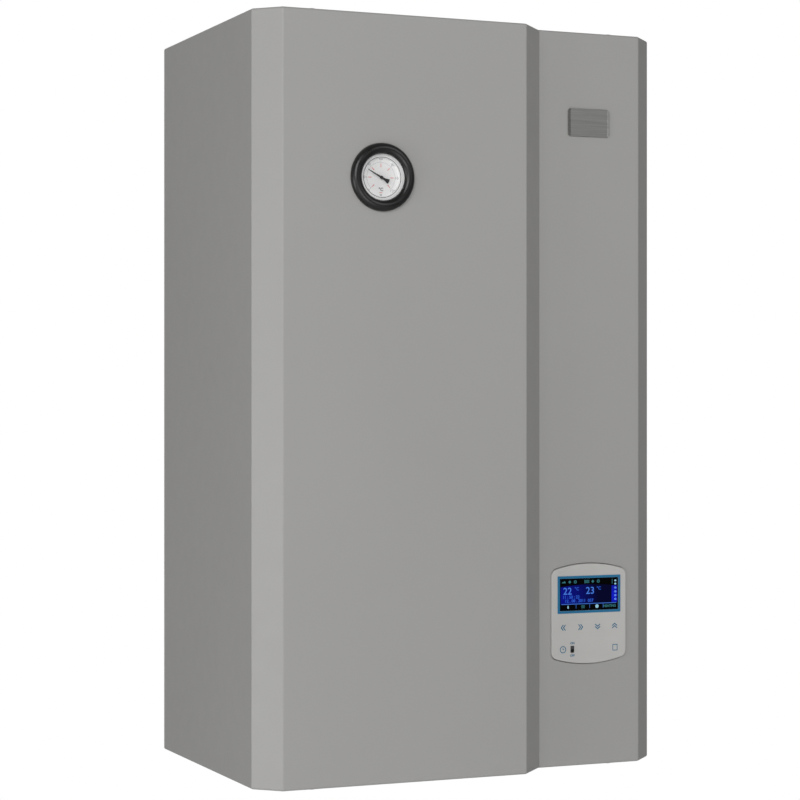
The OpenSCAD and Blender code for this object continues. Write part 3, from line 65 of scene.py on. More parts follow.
# Height of a capital letter as a share of the lettering's size.
CAPITAL = 0.72
QUARTER = math.pi / 2
FLAT = (0.0, 0.0)
# The camera's sensor in millimetres, and how far it sees in metres.
SENSOR, FAR = 36, 50
PURE_WHITE = (1, 1, 1, 1)
FLOOR_DARK, FLOOR_LIGHT = (0.84, 0.84, 0.84), (0.86, 0.86, 0.86)
# Soft lights: name, turn to the left, height as a share of the distance, distance and side in
# metres, power in watts.
FILLS = (
    ("low_fill", math.radians(10), -0.4, 3.2, 2.0, 43.0),
    ("left_low", math.radians(70), -0.14, 3.0, 1.2, 18.5),
    ("right_soft", math.radians(-28), 0.45, 3.0, 1.2, 10.7))
# Outlines of the screen's icons, in millimetres, and their lines: ends as shares of the screen's
# width and height, and thickness in millimetres.
HILL = ((-2.1, -0.9), (2.1, -0.9), (1.5, 0.5), (0.7, 1.0), (-0.3, 0.1), (-1.2, 0.3))
RHOMB = ((-1.6, 0), (0, -1.5), (1.6, 0), (0, 1.5))
DROP = ((0, 1.9), (-0.65, 0.2), (-0.75, -0.9), (0, -1.6), (0.75, -0.9), (0.65, 0.2))
ICON_LINES = (
    *(((0.430, v), (0.502, v), 0.55) for v in (0.07, 0.105, 0.14)),
    ((0.425, 0.05), (0.425, 0.16), 0.5), ((0.898, 0.05), (0.898, 0.20), 0.5),
    *(((0.365, v), (0.425, v), 0.5) for v in (0.85, 0.885, 0.92)))


class Box:
    """Corners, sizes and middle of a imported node's box, and the middle as the front shows it."""

    def __init__(self, node):
        self.low, self.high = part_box(node)
        self.width, self.height = self.high.x - self.low.x, self.high.z - self.low.z
        self.middle = (self.low + self.high) / 2
        self.spot = np.array([self.middle.x, self.middle.z])


COVER, BEZEL, DIAL, NEEDLE, BADGE, FASCIA, SCREEN, SLIDER, SCREWS = map(Box, (
    "front_cover", "gauge_bezel", "gauge_dial", "gauge_needle", "badge_plate",
    "control_fascia", "display_glass", "power_switch", "cover_screws"))
KEYS = {key: Box("key_" + key) for key in ("left", "right", "down", "up", "clock", "square")}


def size_of(name, description, default):
    """Length that a user may change, with its default in millimetres."""
    return bpy.props.FloatProperty(
        name=name, description=description, default=default * MM, min=0.0, precision=5,
        subtype="DISTANCE", unit="LENGTH")


def angle_of(name, description, default):
    """Angle that a user may change, shown in degrees."""
    return bpy.props.FloatProperty(
        name=name, description=description, default=default, subtype="ANGLE", unit="ROTATION")


def colour_of(name, description, default):
    """Linear colour that a user may change."""
    return bpy.props.FloatVectorProperty(
        name=name, description=description, default=default, size=3, min=0.0, max=1.0,
        subtype="COLOR")


class CasingSettings(bpy.types.PropertyGroup):
    """Sizes of the folded cover, its screws and its badge plate."""

    sheet: size_of("Sheet", "Thickness of the cover's sheet", 1.2)
    bend: size_of("Bend", "Outer radius of the cover's upright bends", 2.5)
    fold: size_of("Fold", "Outer radius of the bends to the top and bottom flanges", 2.0)
    flange: size_of("Flange", "Width of the top and bottom flanges", 15)
    left_chamfer: size_of("Left chamfer", "Run of the chamfer at the left", 22)
    front: size_of("Front", "Width of the raised front", 242)
    step_run: size_of("Step run", "Width of the sloped step", 27)
    step_depth: size_of("Step depth", "Depth of the sloped step", 28)
    right_chamfer: size_of("Right chamfer", "Run of the chamfer at the right", 22)
    gap: size_of("Gap", "Gap round the thermometer and at the control unit's sides", 0.12)
    end_gap: size_of("End gap", "Gap above and below the control unit", 0.6)
    screw_hole: size_of("Screw hole", "Radius of a hole for a cover screw", 2.2)
    screw_head: size_of("Screw head", "Radius of a cover screw's head", 4)
    screw_in: size_of("Screw inset", "Distance of a cover screw from the end of its panel", 30)
    badge_corner: size_of("Badge corner", "Corner radius of the badge plate", 3)
    badge_roll: size_of("Badge roll", "Radius of the badge plate's outer edge", 0.12)
    badge_dish: size_of("Badge dish", "Width of the slope from the left and right rims", 2.3)
    badge_sink: size_of("Badge sink", "Depth of the badge plate's face below those rims", 0.6)


class GaugeSettings(bpy.types.PropertyGroup):
    """Sizes and colours of the thermometer."""

    opening: size_of("Opening", "Radius of the bezel's opening", 21.1)
    wall: size_of("Wall", "Radius of the seat inside the bezel", 28.1)
    lip: size_of("Lip", "Depth of the bezel's lip in front of the glass", 4.4)
    crown: size_of("Crown", "Radius of the bezel's highest circle", 26.05)
    roll: size_of("Roll", "Depth of the bezel's rounded outer side", 4.9)
    face: size_of("Face", "Radius of the dial's flat face", 18.0)
    raised: size_of("Raised", "Height of the printed card on the dial plate", 1.4)
    rim: size_of("Rim", "Height of the dial's raised rim", 3.0)
    flare: size_of("Flare", "Height of the collar round the rim", 3.3)
    numerals: size_of("Numerals", "Height of the numerals", 2.6)
    unit: size_of("Unit", "Height of the degree sign and its letter", 3)
    unit_drop: size_of("Unit drop", "Depth of the degree sign below the spindle", 10.7)
    numeral_ring: size_of("Numeral ring", "Radius of the ring of numerals", 16.9)
    scale_ring: size_of("Scale ring", "Radius of the printed scale line", 13.9)
    tick: size_of("Tick", "Length of a main tick", 1.3)
    red_tick: size_of("Red tick", "Length of a red tick", 3.5)
    needle: size_of("Needle", "Length of the needle in front of its spindle", 14.7)
    needle_tail: size_of("Needle tail", "Length of the needle's tail", 7.7)
    needle_waist: size_of("Needle waist", "Distance from the spindle to where the tail widens", 3.5)
    needle_width: size_of("Needle width", "Width of the needle at its waist", 1.9)
    tail_width: size_of("Tail width", "Width of the needle's tail", 4.6)
    reading: angle_of("Reading", "Angle of the needle from the right", math.radians(151.8))
    low_angle: angle_of("Scale start", "Angle of the scale's zero", math.radians(225))
    high_angle: angle_of("Scale end", "Angle of the scale's end", math.radians(-45))
    high: bpy.props.IntProperty(name="Highest", description="Highest number", default=120)
    step: bpy.props.IntProperty(name="Step", description="Step between numbers", default=20)
    red: colour_of("Red", "Colour of the red ticks", (0.80, 0.23, 0.20))
    grey: colour_of("Grey", "Colour of the printed numerals", (0.30, 0.31, 0.32))


class PanelSettings(bpy.types.PropertyGroup):
    """Sizes and colours of the control unit."""

    bow: size_of("Bow", "Height of the bow along the top and bottom", 6.5)
    corner: size_of("Corner", "Corner radius of the front", 7)
    roll: size_of("Roll", "Radius of the front's rounded edge", 0.9)
    frame_edge: size_of("Frame", "Width of the blue frame round the screen", 2.5)
    window_edge: size_of("Window", "Seat of the screen along its edge", 3)
    key_radius: size_of("Key", "Radius of a key", 6)
    key_gap: size_of("Key gap", "Gap round a key", 0.04)
    slot_width: size_of("Slot width", "Width of the switch's slot", 4)
    slot_height: size_of("Slot height", "Height of the switch's slot", 6.6)
    label: size_of("Label", "Height of the switch's labels", 2.1)
    stroke: size_of("Stroke", "Width of a printed line", 0.95)
    symbol: size_of("Symbol", "Height of a key's symbol", 5.4)
    blue: colour_of("Blue", "Colour of the frame round the screen", (0.012, 0.150, 0.300))
    ink: colour_of("Ink", "Colour of the printed symbols", (0.0, 0.120, 0.225))
    glow: colour_of("Glow", "Colour of the screen's light", (0.004, 0.010, 0.46))
    digits: colour_of("Digits", "Colour of the screen's numbers", (0.055, 0.18, 0.66))
    small: colour_of("Small text", "Colour of the screen's lines of text", (0.02, 0.08, 0.48))
    icons: colour_of("Icons", "Colour of the screen's icons", (0.03, 0.15, 0.17))
    lamps: colour_of("Lamps", "Colour of the screen's bright marks", (0.26, 0.50, 0.62))
    dots: colour_of("Dots", "Colour of the dots at the screen's right", (0.13, 0.26, 0.80))


class FinishSettings(bpy.types.PropertyGroup):
    """Colours of the main finishes."""

    paint: colour_of("Paint", "Powder paint of the cover", (0.350, 0.346, 0.338))
    fascia: colour_of("Fascia", "Moulded front of the control unit", (0.490, 0.484, 0.470))
    zinc: colour_of("Zinc", "Galvanised sheet", (0.60, 0.62, 0.64))
    copper: colour_of("Copper", "Pipes and heating tubes", (0.78, 0.40, 0.26))
    brass: colour_of("Brass", "Valves and nuts", (0.76, 0.56, 0.25))
    red: colour_of("Red", "Painted vessel and pump motor", (0.45, 0.022, 0.016))


class StageSettings(bpy.types.PropertyGroup):
    """Camera, lights and floor."""

    lens: bpy.props.FloatProperty(
        name="Lens", description="Focal length on a 36 mm sensor", default=103.95, unit="CAMERA")
    shift: bpy.props.FloatProperty(name="Shift", description="Upward shift", default=-0.0014)
    camera: bpy.props.FloatVectorProperty(
        name="Camera", description="Place of the camera", default=(-0.9028, -2.2145, 0.0),
        subtype="XYZ", unit="LENGTH")
    turn: angle_of("Turn", "Turn of the camera from straight ahead", math.radians(-23.2))
    floor_drop: size_of("Floor", "Depth of the floor below the casing's middle", 1200)
    floor_radius: size_of("Floor radius", "Radius of the floor", 3200)
    key_turn: angle_of("Key turn", "Turn of the main light to the left", math.radians(33))
    key_distance: size_of("Key distance", "Distance of the main light", 3000)
    key_size: size_of("Key size", "Side of the main light", 1600)
    key_power: bpy.props.FloatProperty(
        name="Key power", description="Power of the main light", default=36.0, unit="POWER")
    ambient: bpy.props.FloatProperty(
        name="Ambient", description="Strength of the studio's soft light", default=0.21)


# Surfaces


def paired(*coordinates):
    """Coordinates side by side, as one list of points."""
    return np.stack(np.broadcast_arrays(*coordinates), -1)


def grid(points, close_rows=False, close_columns=False):
    """Four-sided faces between the rows and columns of a grid of points."""
    rows, columns = points.shape[:2]
    i = np.arange(rows if close_rows else rows - 1)[:, None]
    j = np.arange(columns if close_columns else columns - 1)[None, :]
    next_i, next_j = (i + 1) % rows, (j + 1) % columns
    i, next_i = i * columns, next_i * columns
    corners = paired(i + j, i + next_j, next_i + next_j, next_i + j)
    return points.reshape(-1, 3), corners.reshape(-1, 4)


def joined(parts):
    """Several surfaces as one list of points and one list of faces."""
    starts = np.cumsum([0] + [len(points) for points, _ in parts])
    faces = [np.asarray(face) + start for (_, own), start in zip(parts, starts) for face in own]
    return np.concatenate([points for points, _ in parts]), faces


def closed(form, *ends):
    """A surface of four-sided faces with its end faces added."""
    points, sides = form
    return points, [*sides, *ends]


def arc(x, z, radius, start, end, steps):
    """Points x + r cos a, z + r sin a, with a running evenly from start to end."""
    a = np.linspace(start, end, steps + 1)
    return paired(x + radius * np.cos(a), z + radius * np.sin(a))


def circle(radius, steps=64):
    """Points of a full circle round the origin, once round to the left."""
    return arc(0, 0, radius, 0, 2 * math.pi, steps)[:-1]


def rounded_rectangle(width, height, radius, steps=8):
    """Outline of a rectangle whose four corners are quarter circles."""
    x, z = width / 2 - radius, height / 2 - radius
    return np.concatenate([
        arc(i * x, j * z, radius, k * QUARTER, (k + 1) * QUARTER, steps)
        for k, (i, j) in enumerate(((1, 1), (-1, 1), (-1, -1), (1, -1)))])


def bowed_rectangle(width, height, bow, radius, steps=8):
    """Outline of a rectangle whose top and bottom are arcs of one large circle.

    The large radius is (w*w/4 + b*b) / 2b, and each corner circle lies inside it and touches it.
    """
    big = (width ** 2 / 4 + bow ** 2) / (2 * bow)
    drop = big - height / 2
    rise = math.sqrt((big - radius) ** 2 - (width / 2 - radius) ** 2)
    edge = math.atan2(rise, width / 2 - radius)
    half = np.concatenate([
        arc(width / 2 - radius, rise - drop, radius, 0, edge, steps),
        arc(0, -drop, big, edge, math.pi - edge, 4 * steps)[1:-1],
        arc(radius - width / 2, rise - drop, radius, math.pi - edge, math.pi, steps)])
    return np.concatenate([half, -half])


def outward(outline):
    """Unit normals of an outline that runs round to the left, pointing out of it."""
    along = np.roll(outline, -1, 0) - np.roll(outline, 1, 0)
    normal = paired(along[:, 1], -along[:, 0])
    return normal / np.linalg.norm(normal, axis=1, keepdims=True)


def plate(outline, centre, insets, depths):
    """Closed plate: the outline moved in by each inset and set at each depth, with flat ends."""
    insets, depths = np.array(insets)[:, None, None], np.array(depths)[:, None]
    flat = outline - insets * outward(outline)
    points = paired(centre[0] + flat[..., 0], depths, centre[1] + flat[..., 1])
    first = np.arange(len(outline))
    return closed(grid(points, close_columns=True), first, first + (len(depths) - 1) * len(outline))


def slab(outline, centre, rear, near):
    """Closed plate with square edges between two depths."""
    return plate(outline, centre, [0, 0], [rear, near])


def ring_plate(outer, inner, centre, rear, near):
    """Closed flat ring between two outlines with as many points, from a rear to a near depth."""
    points = np.stack([
        paired(centre[0] + o[:, 0], y, centre[1] + o[:, 1])
        for o, y in ((outer, rear), (outer, near), (inner, near), (inner, rear))])
    return grid(points, close_rows=True, close_columns=True)


def rolled_edge(radius, near, rear, steps=6):
    """Insets and depths of a plate whose front edge is a quarter circle."""
    a = np.linspace(0, QUARTER, steps + 1)
    insets = np.concatenate([[0.0], radius * (1 - np.cos(a))])
    depths = np.concatenate([[rear], near + radius * (1 - np.sin(a))])
    return insets, depths


def full_turn(steps):
    """Angles spread evenly once round."""
    return np.arange(steps) * 2 * math.pi / steps


def turned(profile, centre, steps, close=True):
    """Surface of revolution about a line along Y: x = cx + r cos a, z = cz + r sin a."""
    a = full_turn(steps)
    r, y = profile[:, :1], profile[:, 1:]
    points = paired(centre[0] + r * np.cos(a), y, centre[1] + r * np.sin(a))
    return grid(points, close_rows=close, close_columns=True)


def mitres(before, after):
    """Offsets that keep a parallel line one unit away on both sides of each corner."""
    return (before + after) / (1 + np.sum(before * after, 1, keepdims=True))


def stroke(points, width):
    """Outline of a line of one width along points, with its corners mitred."""
    p = np.asarray(points, float)
    d = np.diff(p, axis=0)
    n = paired(-d[:, 1], d[:, 0]) / np.linalg.norm(d, axis=1, keepdims=True)
    mitre = mitres(np.concatenate([n[:1], n]), np.concatenate([n, n[-1:]]))
    return np.concatenate([p - mitre * width / 2, (p + mitre * width / 2)[::-1]])


def printed(outline, centre, face, raised=LAYER):
    """Thin print on a surface whose front lies at depth face."""
    return slab(outline, centre, face + SINK, face - raised)


def printed_ring(outer, inner, centre, face):
    """Thin printed ring between two outlines."""
    return ring_plate(outer, inner, centre, face + SINK, face - LAYER)


def rotated(points, angle):
    """Points in a plane turned to the left about the origin."""
    c, s = math.cos(angle), math.sin(angle)
    return np.asarray(points, float) @ np.array([[c, s], [-s, c]])


def final_mesh(obj):
    """Mesh of an object with its modifiers applied."""
    return bpy.data.meshes.new_from_object(
        obj.evaluated_get(bpy.context.evaluated_depsgraph_get()))


def lettering(text, height, centre, face, weight=0.0):
    """Flat lettering centred on a place, its strokes thickened by a share of its height."""
    curve = bpy.data.curves.new("lettering", "FONT")
    curve.body = text
    curve.size = height / CAPITAL
    curve.offset = weight * height / 2
    curve.align_x = "CENTER"
    curve.align_y = "CENTER"
    curve.resolution_u = 3
    curve.extrude = (LAYER + SINK) / 2
    holder = bpy.data.objects.new("lettering", curve)
    bpy.context.scene.collection.objects.link(holder)
    mesh = final_mesh(holder)
    points = np.empty(3 * len(mesh.vertices))
    mesh.vertices.foreach_get("co", points)
    faces = [list(p.vertices) for p in mesh.polygons]
    bpy.data.objects.remove(holder)
    bpy.data.curves.remove(curve)
    bpy.data.meshes.remove(mesh)
    flat, rise = np.split(points.reshape(-1, 3), [2], axis=1)
    flat = flat - (flat.max(0) + flat.min(0)) / 2
    y = face + (SINK - LAYER) / 2 - rise[:, 0]
    return paired(centre[0] + flat[:, 0], y, centre[1] + flat[:, 1]), faces


# Pieces


def smooth(mesh, angle=30.0):
    """Shades a mesh smooth, apart from the edges sharper than an angle in degrees."""
    mesh.shade_smooth()
    mesh.set_sharp_from_angle(angle=math.radians(angle))


def mesh_object(name, form, smooth_angle=30.0):
    """Object at the origin whose mesh is the surface, its seams merged and faces turned out."""
    points, faces = form
    mesh = bpy.data.meshes.new(name)
    mesh.from_pydata(points.tolist(), [], [list(map(int, face)) for face in faces])
    shape = bmesh.new()
    shape.from_mesh(mesh)
    bmesh.ops.remove_doubles(shape, verts=shape.verts, dist=1e-7)
    bmesh.ops.recalc_face_normals(shape, faces=shape.faces)
    shape.to_mesh(mesh)
    shape.free()
    smooth(mesh, smooth_angle)
    obj = bpy.data.objects.new(name, mesh)
    bpy.context.scene.collection.objects.link(obj)
    return obj


def even_shading(obj):
    """Keeps large flat faces flat beside their rounded edges."""
    modifier = obj.modifiers.new("even shading", "WEIGHTED_NORMAL")
    modifier.keep_sharp = True
    modifier.weight = 50


def cut_away(obj, cutters):
    """Cuts closed surfaces out of a piece, and applies the cuts to its mesh."""
    tool = mesh_object("cutter", joined(cutters))
    modifier = obj.modifiers.new("cut", "BOOLEAN")
    modifier.operation = "DIFFERENCE"
    modifier.solver = "EXACT"
    modifier.object = tool
    mesh = final_mesh(obj)
    mesh.name = obj.data.name + "_cut"
    obj.modifiers.clear()
    old = obj.data
    obj.data = mesh
    bpy.data.meshes.remove(old)
    bpy.data.objects.remove(tool)
    smooth(mesh)


def place(obj, body, slot, *nodes, material=None):
    """Gives a piece its body and material, by default the material of its slot, and hides the nodes
    that it stands for.
    """
    obj.data.materials.clear()
    obj.data.materials.append(material or finish_of(slot))
    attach(obj, body)
    if nodes:
        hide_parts(*nodes)


# Materials


def wired(node, inputs):
    """A node with its inputs set, by name or number, to values or to other nodes' outputs."""
    for name, value in inputs.items():
        if isinstance(value, bpy.types.NodeSocket):
            node.id_data.links.new(value, node.inputs[name])
        else:
            node.inputs[name].default_value = value
    return node


def new_node(material, kind, inputs):
    """New node of a material, wired up."""
    return wired(material.node_tree.nodes.new(kind), inputs)


def shader_of(material):
    """The material's principled shader."""
    return material.node_tree.nodes["Principled BSDF"]


def surface(name, colour, metallic=0.0, roughness=0.5, sockets=None):
    """Principled material with its even values on the shader's own sockets."""
    material = bpy.data.materials.new(name)
    material.use_nodes = True
    wired(shader_of(material), {
        "Base Color": (*colour, 1.0), "Metallic": metallic, "Roughness": roughness})
    wired(shader_of(material), sockets or {})
    return material


def pattern(material, kind, output, scale, detail, stretch):
    """Grey output of a pattern in the piece's own coordinates, scaled in repeats a metre."""
    coordinates = new_node(material, "ShaderNodeTexCoord", {})
    mapping = new_node(material, "ShaderNodeMapping", {
        "Scale": stretch, "Vector": coordinates.outputs["Object"]})
    return new_node(material, kind, {
        "Scale": scale, "Detail": detail, "Vector": mapping.outputs["Vector"]}).outputs[output]


def noise(material, scale, detail=3.0, stretch=(1, 1, 1)):
    """Cloudy pattern."""
    return pattern(material, "ShaderNodeTexNoise", "Fac", scale, detail, stretch)


def cells(material, scale, stretch=(1, 1, 1)):
    """Pattern of cells, from dark at each cell's middle to light at its edge."""
    return pattern(material, "ShaderNodeTexVoronoi", "Distance", scale, 0.0, stretch)


def shaded(colour, factor):
    """A colour made lighter or darker by a factor."""
    return tuple(min(1.0, c * factor) for c in colour)


def colour_ramp(material, source, low, high, start=0.0, end=1.0):
    """Colours that run from low to high along a pattern."""
    ramp = new_node(material, "ShaderNodeValToRGB", {"Fac": source})
    for stop, position, colour in zip(ramp.color_ramp.elements, (start, end), (low, high)):
        stop.position = position
        stop.color = (*colour, 1.0)
    return ramp.outputs["Color"]


def vary_colour(material, source, low, high, start=0.3, end=0.7):
    """Runs the base colour from low to high along a pattern."""
    wired(shader_of(material), {
        "Base Color": colour_ramp(material, source, low, high, start, end)})


def vary_roughness(material, source, low, high):
    """Runs the roughness from low to high along a pattern."""
    spread = new_node(material, "ShaderNodeMapRange", {
        "Value": source, "From Min": 0.25, "From Max": 0.75, "To Min": low, "To Max": high})
    wired(shader_of(material), {"Roughness": spread.outputs["Result"]})


def raise_bumps(material, source, strength, depth):
    """Adds relief along a pattern."""
    bump = new_node(material, "ShaderNodeBump", {
        "Strength": strength, "Distance": depth, "Height": source})
    wired(shader_of(material), {"Normal": bump.outputs["Normal"]})


def tint(material, source, colour, dark, light, start=0.3, end=0.7):
    """Runs the base colour from a darker to a lighter shade of one colour along a pattern."""
    vary_colour(material, source, shaded(colour, dark), shaded(colour, light), start, end)


def powder_paint(colour):
    """Satin powder paint: fine orange peel over a faint unevenness of tone."""
    material = surface("powder_paint", colour, roughness=0.46, sockets={"Specular IOR Level": 0.42})
    tint(material, noise(material, 4.0, 6.0), colour, 0.985, 1.015)
    vary_roughness(material, noise(material, 60.0, 5.0), 0.42, 0.52)
    raise_bumps(material, noise(material, 650.0, 4.0), 0.10, 0.15 * MM)
    return material


def galvanised(colour):
    """Zinc sheet with crystals a few millimetres wide and fine rolling lines."""
    material = surface("zinc_sheet", colour, metallic=0.85, roughness=0.42)
    tint(material, cells(material, 120.0), colour, 0.80, 1.08, 0.0, 0.9)
    vary_roughness(material, cells(material, 90.0), 0.34, 0.52)
    raise_bumps(material, noise(material, 240.0, stretch=(1, 1, 0.2)), 0.06, 0.1 * MM)
    return material


def brushed_metal(name, colour, stretch, roughness):
    """Metal with fine scratches along one direction."""
    material = surface(name, colour, metallic=1.0, roughness=roughness)
    lines = noise(material, 700.0, 5.0, stretch)
    tint(material, lines, colour, 0.82, 1.12)
    vary_roughness(material, lines, roughness - 0.08, roughness + 0.12)
    raise_bumps(material, lines, 0.12, 0.05 * MM)
    return material


def aged_metal(name, colour, dark, scale, roughness):
    """Bare metal with soft darker clouds of age and handling marks."""
    material = surface(name, colour, metallic=1.0, roughness=roughness)
    vary_colour(material, noise(material, scale, 8.0), dark, colour, 0.32, 0.62)
    vary_roughness(material, noise(material, 6 * scale, 6.0), roughness - 0.1, roughness + 0.16)
    raise_bumps(material, noise(material, 420.0, 3.0), 0.05, 0.1 * MM)
    return material


def cast_paint(name, colour, grain, depth, roughness, coat=0.0):
    """Paint over a cast or pressed metal, with its grain showing through."""
    material = surface(name, colour, roughness=roughness, sockets={"Coat Weight": coat})
    tint(material, noise(material, 22.0, 6.0), colour, 0.85, 1.12)
    vary_roughness(material, noise(material, 90.0), roughness - 0.07, roughness + 0.1)
    raise_bumps(material, noise(material, grain, 4.0), 0.3, depth)
    return material


def moulded(name, colour, roughness):
    """Moulded plastic with a fine eroded grain."""
    material = surface(name, colour, roughness=roughness)
    tint(material, noise(material, 30.0), colour, 0.97, 1.03)
    vary_roughness(material, noise(material, 120.0), roughness - 0.04, roughness + 0.06)
    raise_bumps(material, noise(material, 1400.0, 2.0), 0.10, 0.08 * MM)
    return material


def foam(name, colour):
    """Closed-cell foam with a skin of small pits."""
    material = surface(name, colour, roughness=0.9, sockets={"Specular IOR Level": 0.25})
    tint(material, noise(material, 40.0, 6.0), colour, 0.75, 1.3)
    raise_bumps(material, cells(material, 480.0), 0.6, 0.5 * MM)
    return material


def solder_mask(colour):
    """Circuit board lacquer over a net of copper tracks."""
    material = surface("circuit_board", colour, roughness=0.32, sockets={"Coat Weight": 0.4})
    tracks = cells(material, 190.0, (1, 1, 0.45))
    vary_colour(material, tracks, shaded(colour, 1.5), colour, 0.12, 0.2)
    raise_bumps(material, tracks, 0.2, 0.05 * MM)
    return material


def glowing(name, colour, strength):
    """Lit marks of the screen."""
    material = surface(
        name, shaded(colour, 0.4), roughness=0.4, sockets={"Specular IOR Level": 0.06})
    wired(shader_of(material), {"Emission Color": (*colour, 1.0), "Emission Strength": strength})
    tint(material, noise(material, 300.0), colour, 0.08, 0.12)
    return material


def lit_field(name, colour, centre, reach, low, high):
    """Light behind the screen, falling off evenly from a bright place to a dim edge."""
    material = surface(
        name, (0.001, 0.001, 0.002), roughness=0.3, sockets={"Specular IOR Level": 0.06})
    coordinates = new_node(material, "ShaderNodeTexCoord", {})
    mapping = new_node(material, "ShaderNodeMapping", {"Vector": coordinates.outputs["Object"]})
    mapping.vector_type = "TEXTURE"
    wired(mapping, {"Location": centre, "Scale": reach})
    gradient = new_node(material, "ShaderNodeTexGradient", {"Vector": mapping.outputs["Vector"]})
    gradient.gradient_type = "SPHERICAL"
    light = colour_ramp(
        material, gradient.outputs["Fac"], shaded(colour, low), shaded(colour, high))
    wired(shader_of(material), {"Emission Color": light, "Emission Strength": 1.0})
    return material


def screen_glass():
    """Black glass with a faint haze of handling."""
    material = surface(
        "screen_glass", (0.001, 0.001, 0.001), roughness=0.2, sockets={"Specular IOR Level": 0.06})
    vary_colour(
        material, noise(material, 60.0), (0.0008, 0.0008, 0.001), (0.0012, 0.0012, 0.0015))
    vary_roughness(material, noise(material, 90.0), 0.16, 0.26)
    return material


def clear_glass():
    """Thin clear cover glass that lets the dial show."""
    material = surface("clear_glass", (0.02, 0.025, 0.025), roughness=0.03, sockets={"Alpha": 0.05})
    vary_roughness(material, noise(material, 35.0, 5.0), 0.02, 0.10)
    return material


def make_finishes(finish):
    """One material for each slot of the record, by slot name."""
    return {
        "painted_cover": powder_paint(finish.paint),
        "zinc_sheet": galvanised(finish.zinc),
        "badge": brushed_metal("brushed_badge", (0.28, 0.28, 0.27), (0.03, 1, 1), 0.42),
        "zinc_screw": brushed_metal("zinc_screw", (0.70, 0.71, 0.72), (1, 1, 0.2), 0.28),
        "gauge_metal": brushed_metal("gauge_metal", (0.66, 0.66, 0.65), (1, 0.1, 1), 0.35),
        "black_gloss": cast_paint("black_gloss", (0.0045, 0.0045, 0.004), 500.0, 0.004 * MM, 0.30),
        "dial_white": moulded("dial_white", (0.94, 0.94, 0.935), 0.6),
        "needle_black": moulded("needle_black", (0.012, 0.012, 0.013), 0.4),
        "clear_glass": clear_glass(),
        "copper": aged_metal("copper", finish.copper, (0.42, 0.17, 0.10), 14.0, 0.32),
        "stainless": brushed_metal("stainless", (0.62, 0.61, 0.59), (1, 1, 0.04), 0.3),
        "foam_jacket": foam("foam_jacket", (0.035, 0.036, 0.038)),
        "brass": aged_metal("brass", finish.brass, (0.50, 0.34, 0.13), 40.0, 0.26),
        "pump_iron": cast_paint("pump_iron", (0.035, 0.036, 0.038), 380.0, 0.4 * MM, 0.5),
        "red_paint": cast_paint("red_paint", finish.red, 160.0, 0.12 * MM, 0.32, 0.35),
        "red_plastic": moulded("red_plastic", (0.55, 0.025, 0.018), 0.38),
        "black_plastic": moulded("black_plastic", (0.022, 0.022, 0.023), 0.48),
        "membrane": foam("membrane", (0.018, 0.018, 0.018)),
        "light_plastic": moulded("light_plastic", finish.fascia, 0.5),
        "screen": moulded("screen", (0.004, 0.004, 0.006), 0.2),
        "dark_plastic": moulded("dark_plastic", (0.052, 0.053, 0.055), 0.45),
        "terminal_grey": moulded("terminal_grey", (0.33, 0.34, 0.34), 0.5),
        "circuit_board": solder_mask((0.012, 0.11, 0.045)),
        "sink_aluminium": brushed_metal("sink_aluminium", (0.72, 0.72, 0.73), (1, 1, 0.03), 0.33),
        "wire_black": moulded("wire_black", (0.016, 0.016, 0.017), 0.42),
    }


def finish_of(slot):
    """Material of a slot, made by the finishes operator."""
    return bpy.data.materials[bpy.context.scene["boiler_slots"][slot]]


# Casing


def casing_path(casing, steps=8):
    """Outer line of the folded cover seen from above, with its inward normals and mitres.

    At a bend that closes inwards the line is an arc of the outer radius r about c, and at the
    others an arc of r - t, so that both faces of the sheet stay parallel.
    """
    left, right, near = COVER.low.x, COVER.high.x, COVER.low.y
    wall, face = COVER.high.y, near + casing.step_depth
    front = left + casing.left_chamfer
    step = front + casing.front
    corners = np.array([
        [left, wall], [left, near + casing.left_chamfer], [front, near], [step, near],
        [step + casing.step_run, face], [right - casing.right_chamfer, face],
        [right, face + casing.right_chamfer], [right, wall]])
    along = np.diff(corners, axis=0)
    along /= np.linalg.norm(along, axis=1, keepdims=True)
    normals = paired(-along[:, 1], along[:, 0])
    before, after = along[:-1], along[1:]
    cross = before[:, 0] * after[:, 1] - before[:, 1] * after[:, 0]
    turn = np.arctan2(cross, np.sum(before * after, 1))
    side = np.sign(turn)
    radius = np.where(side > 0, casing.bend, casing.bend - casing.sheet)
    trim = radius * np.tan(np.abs(turn) / 2)
    inner = corners[1:-1]
    centre = inner - before * trim[:, None] + normals[:-1] * (radius * side)[:, None]
    start = np.arctan2(before[:, 1], before[:, 0])[:, None]
    heading = start + turn[:, None] * np.linspace(0, 1, steps + 1)
    normal = paired(-np.sin(heading), np.cos(heading))
    line = centre[:, None] - normal * (radius * side)[:, None, None]
    mitre = mitres(normals[:-1], normals[1:])
    convex = np.repeat(side > 0, steps + 1)
    flat = [line.reshape(-1, 2), normal.reshape(-1, 2),
            np.repeat(inner, steps + 1, 0), np.repeat(mitre, steps + 1, 0)]
    ends = [(corners[[0]], corners[[-1]]), (normals[[0]], normals[[-1]])] * 2
    line, normal, corner, mitre = (np.concatenate([a, f, b]) for f, (a, b) in zip(flat, ends))
    return line, normal, corner, mitre, np.concatenate([[False], convex, [False]])


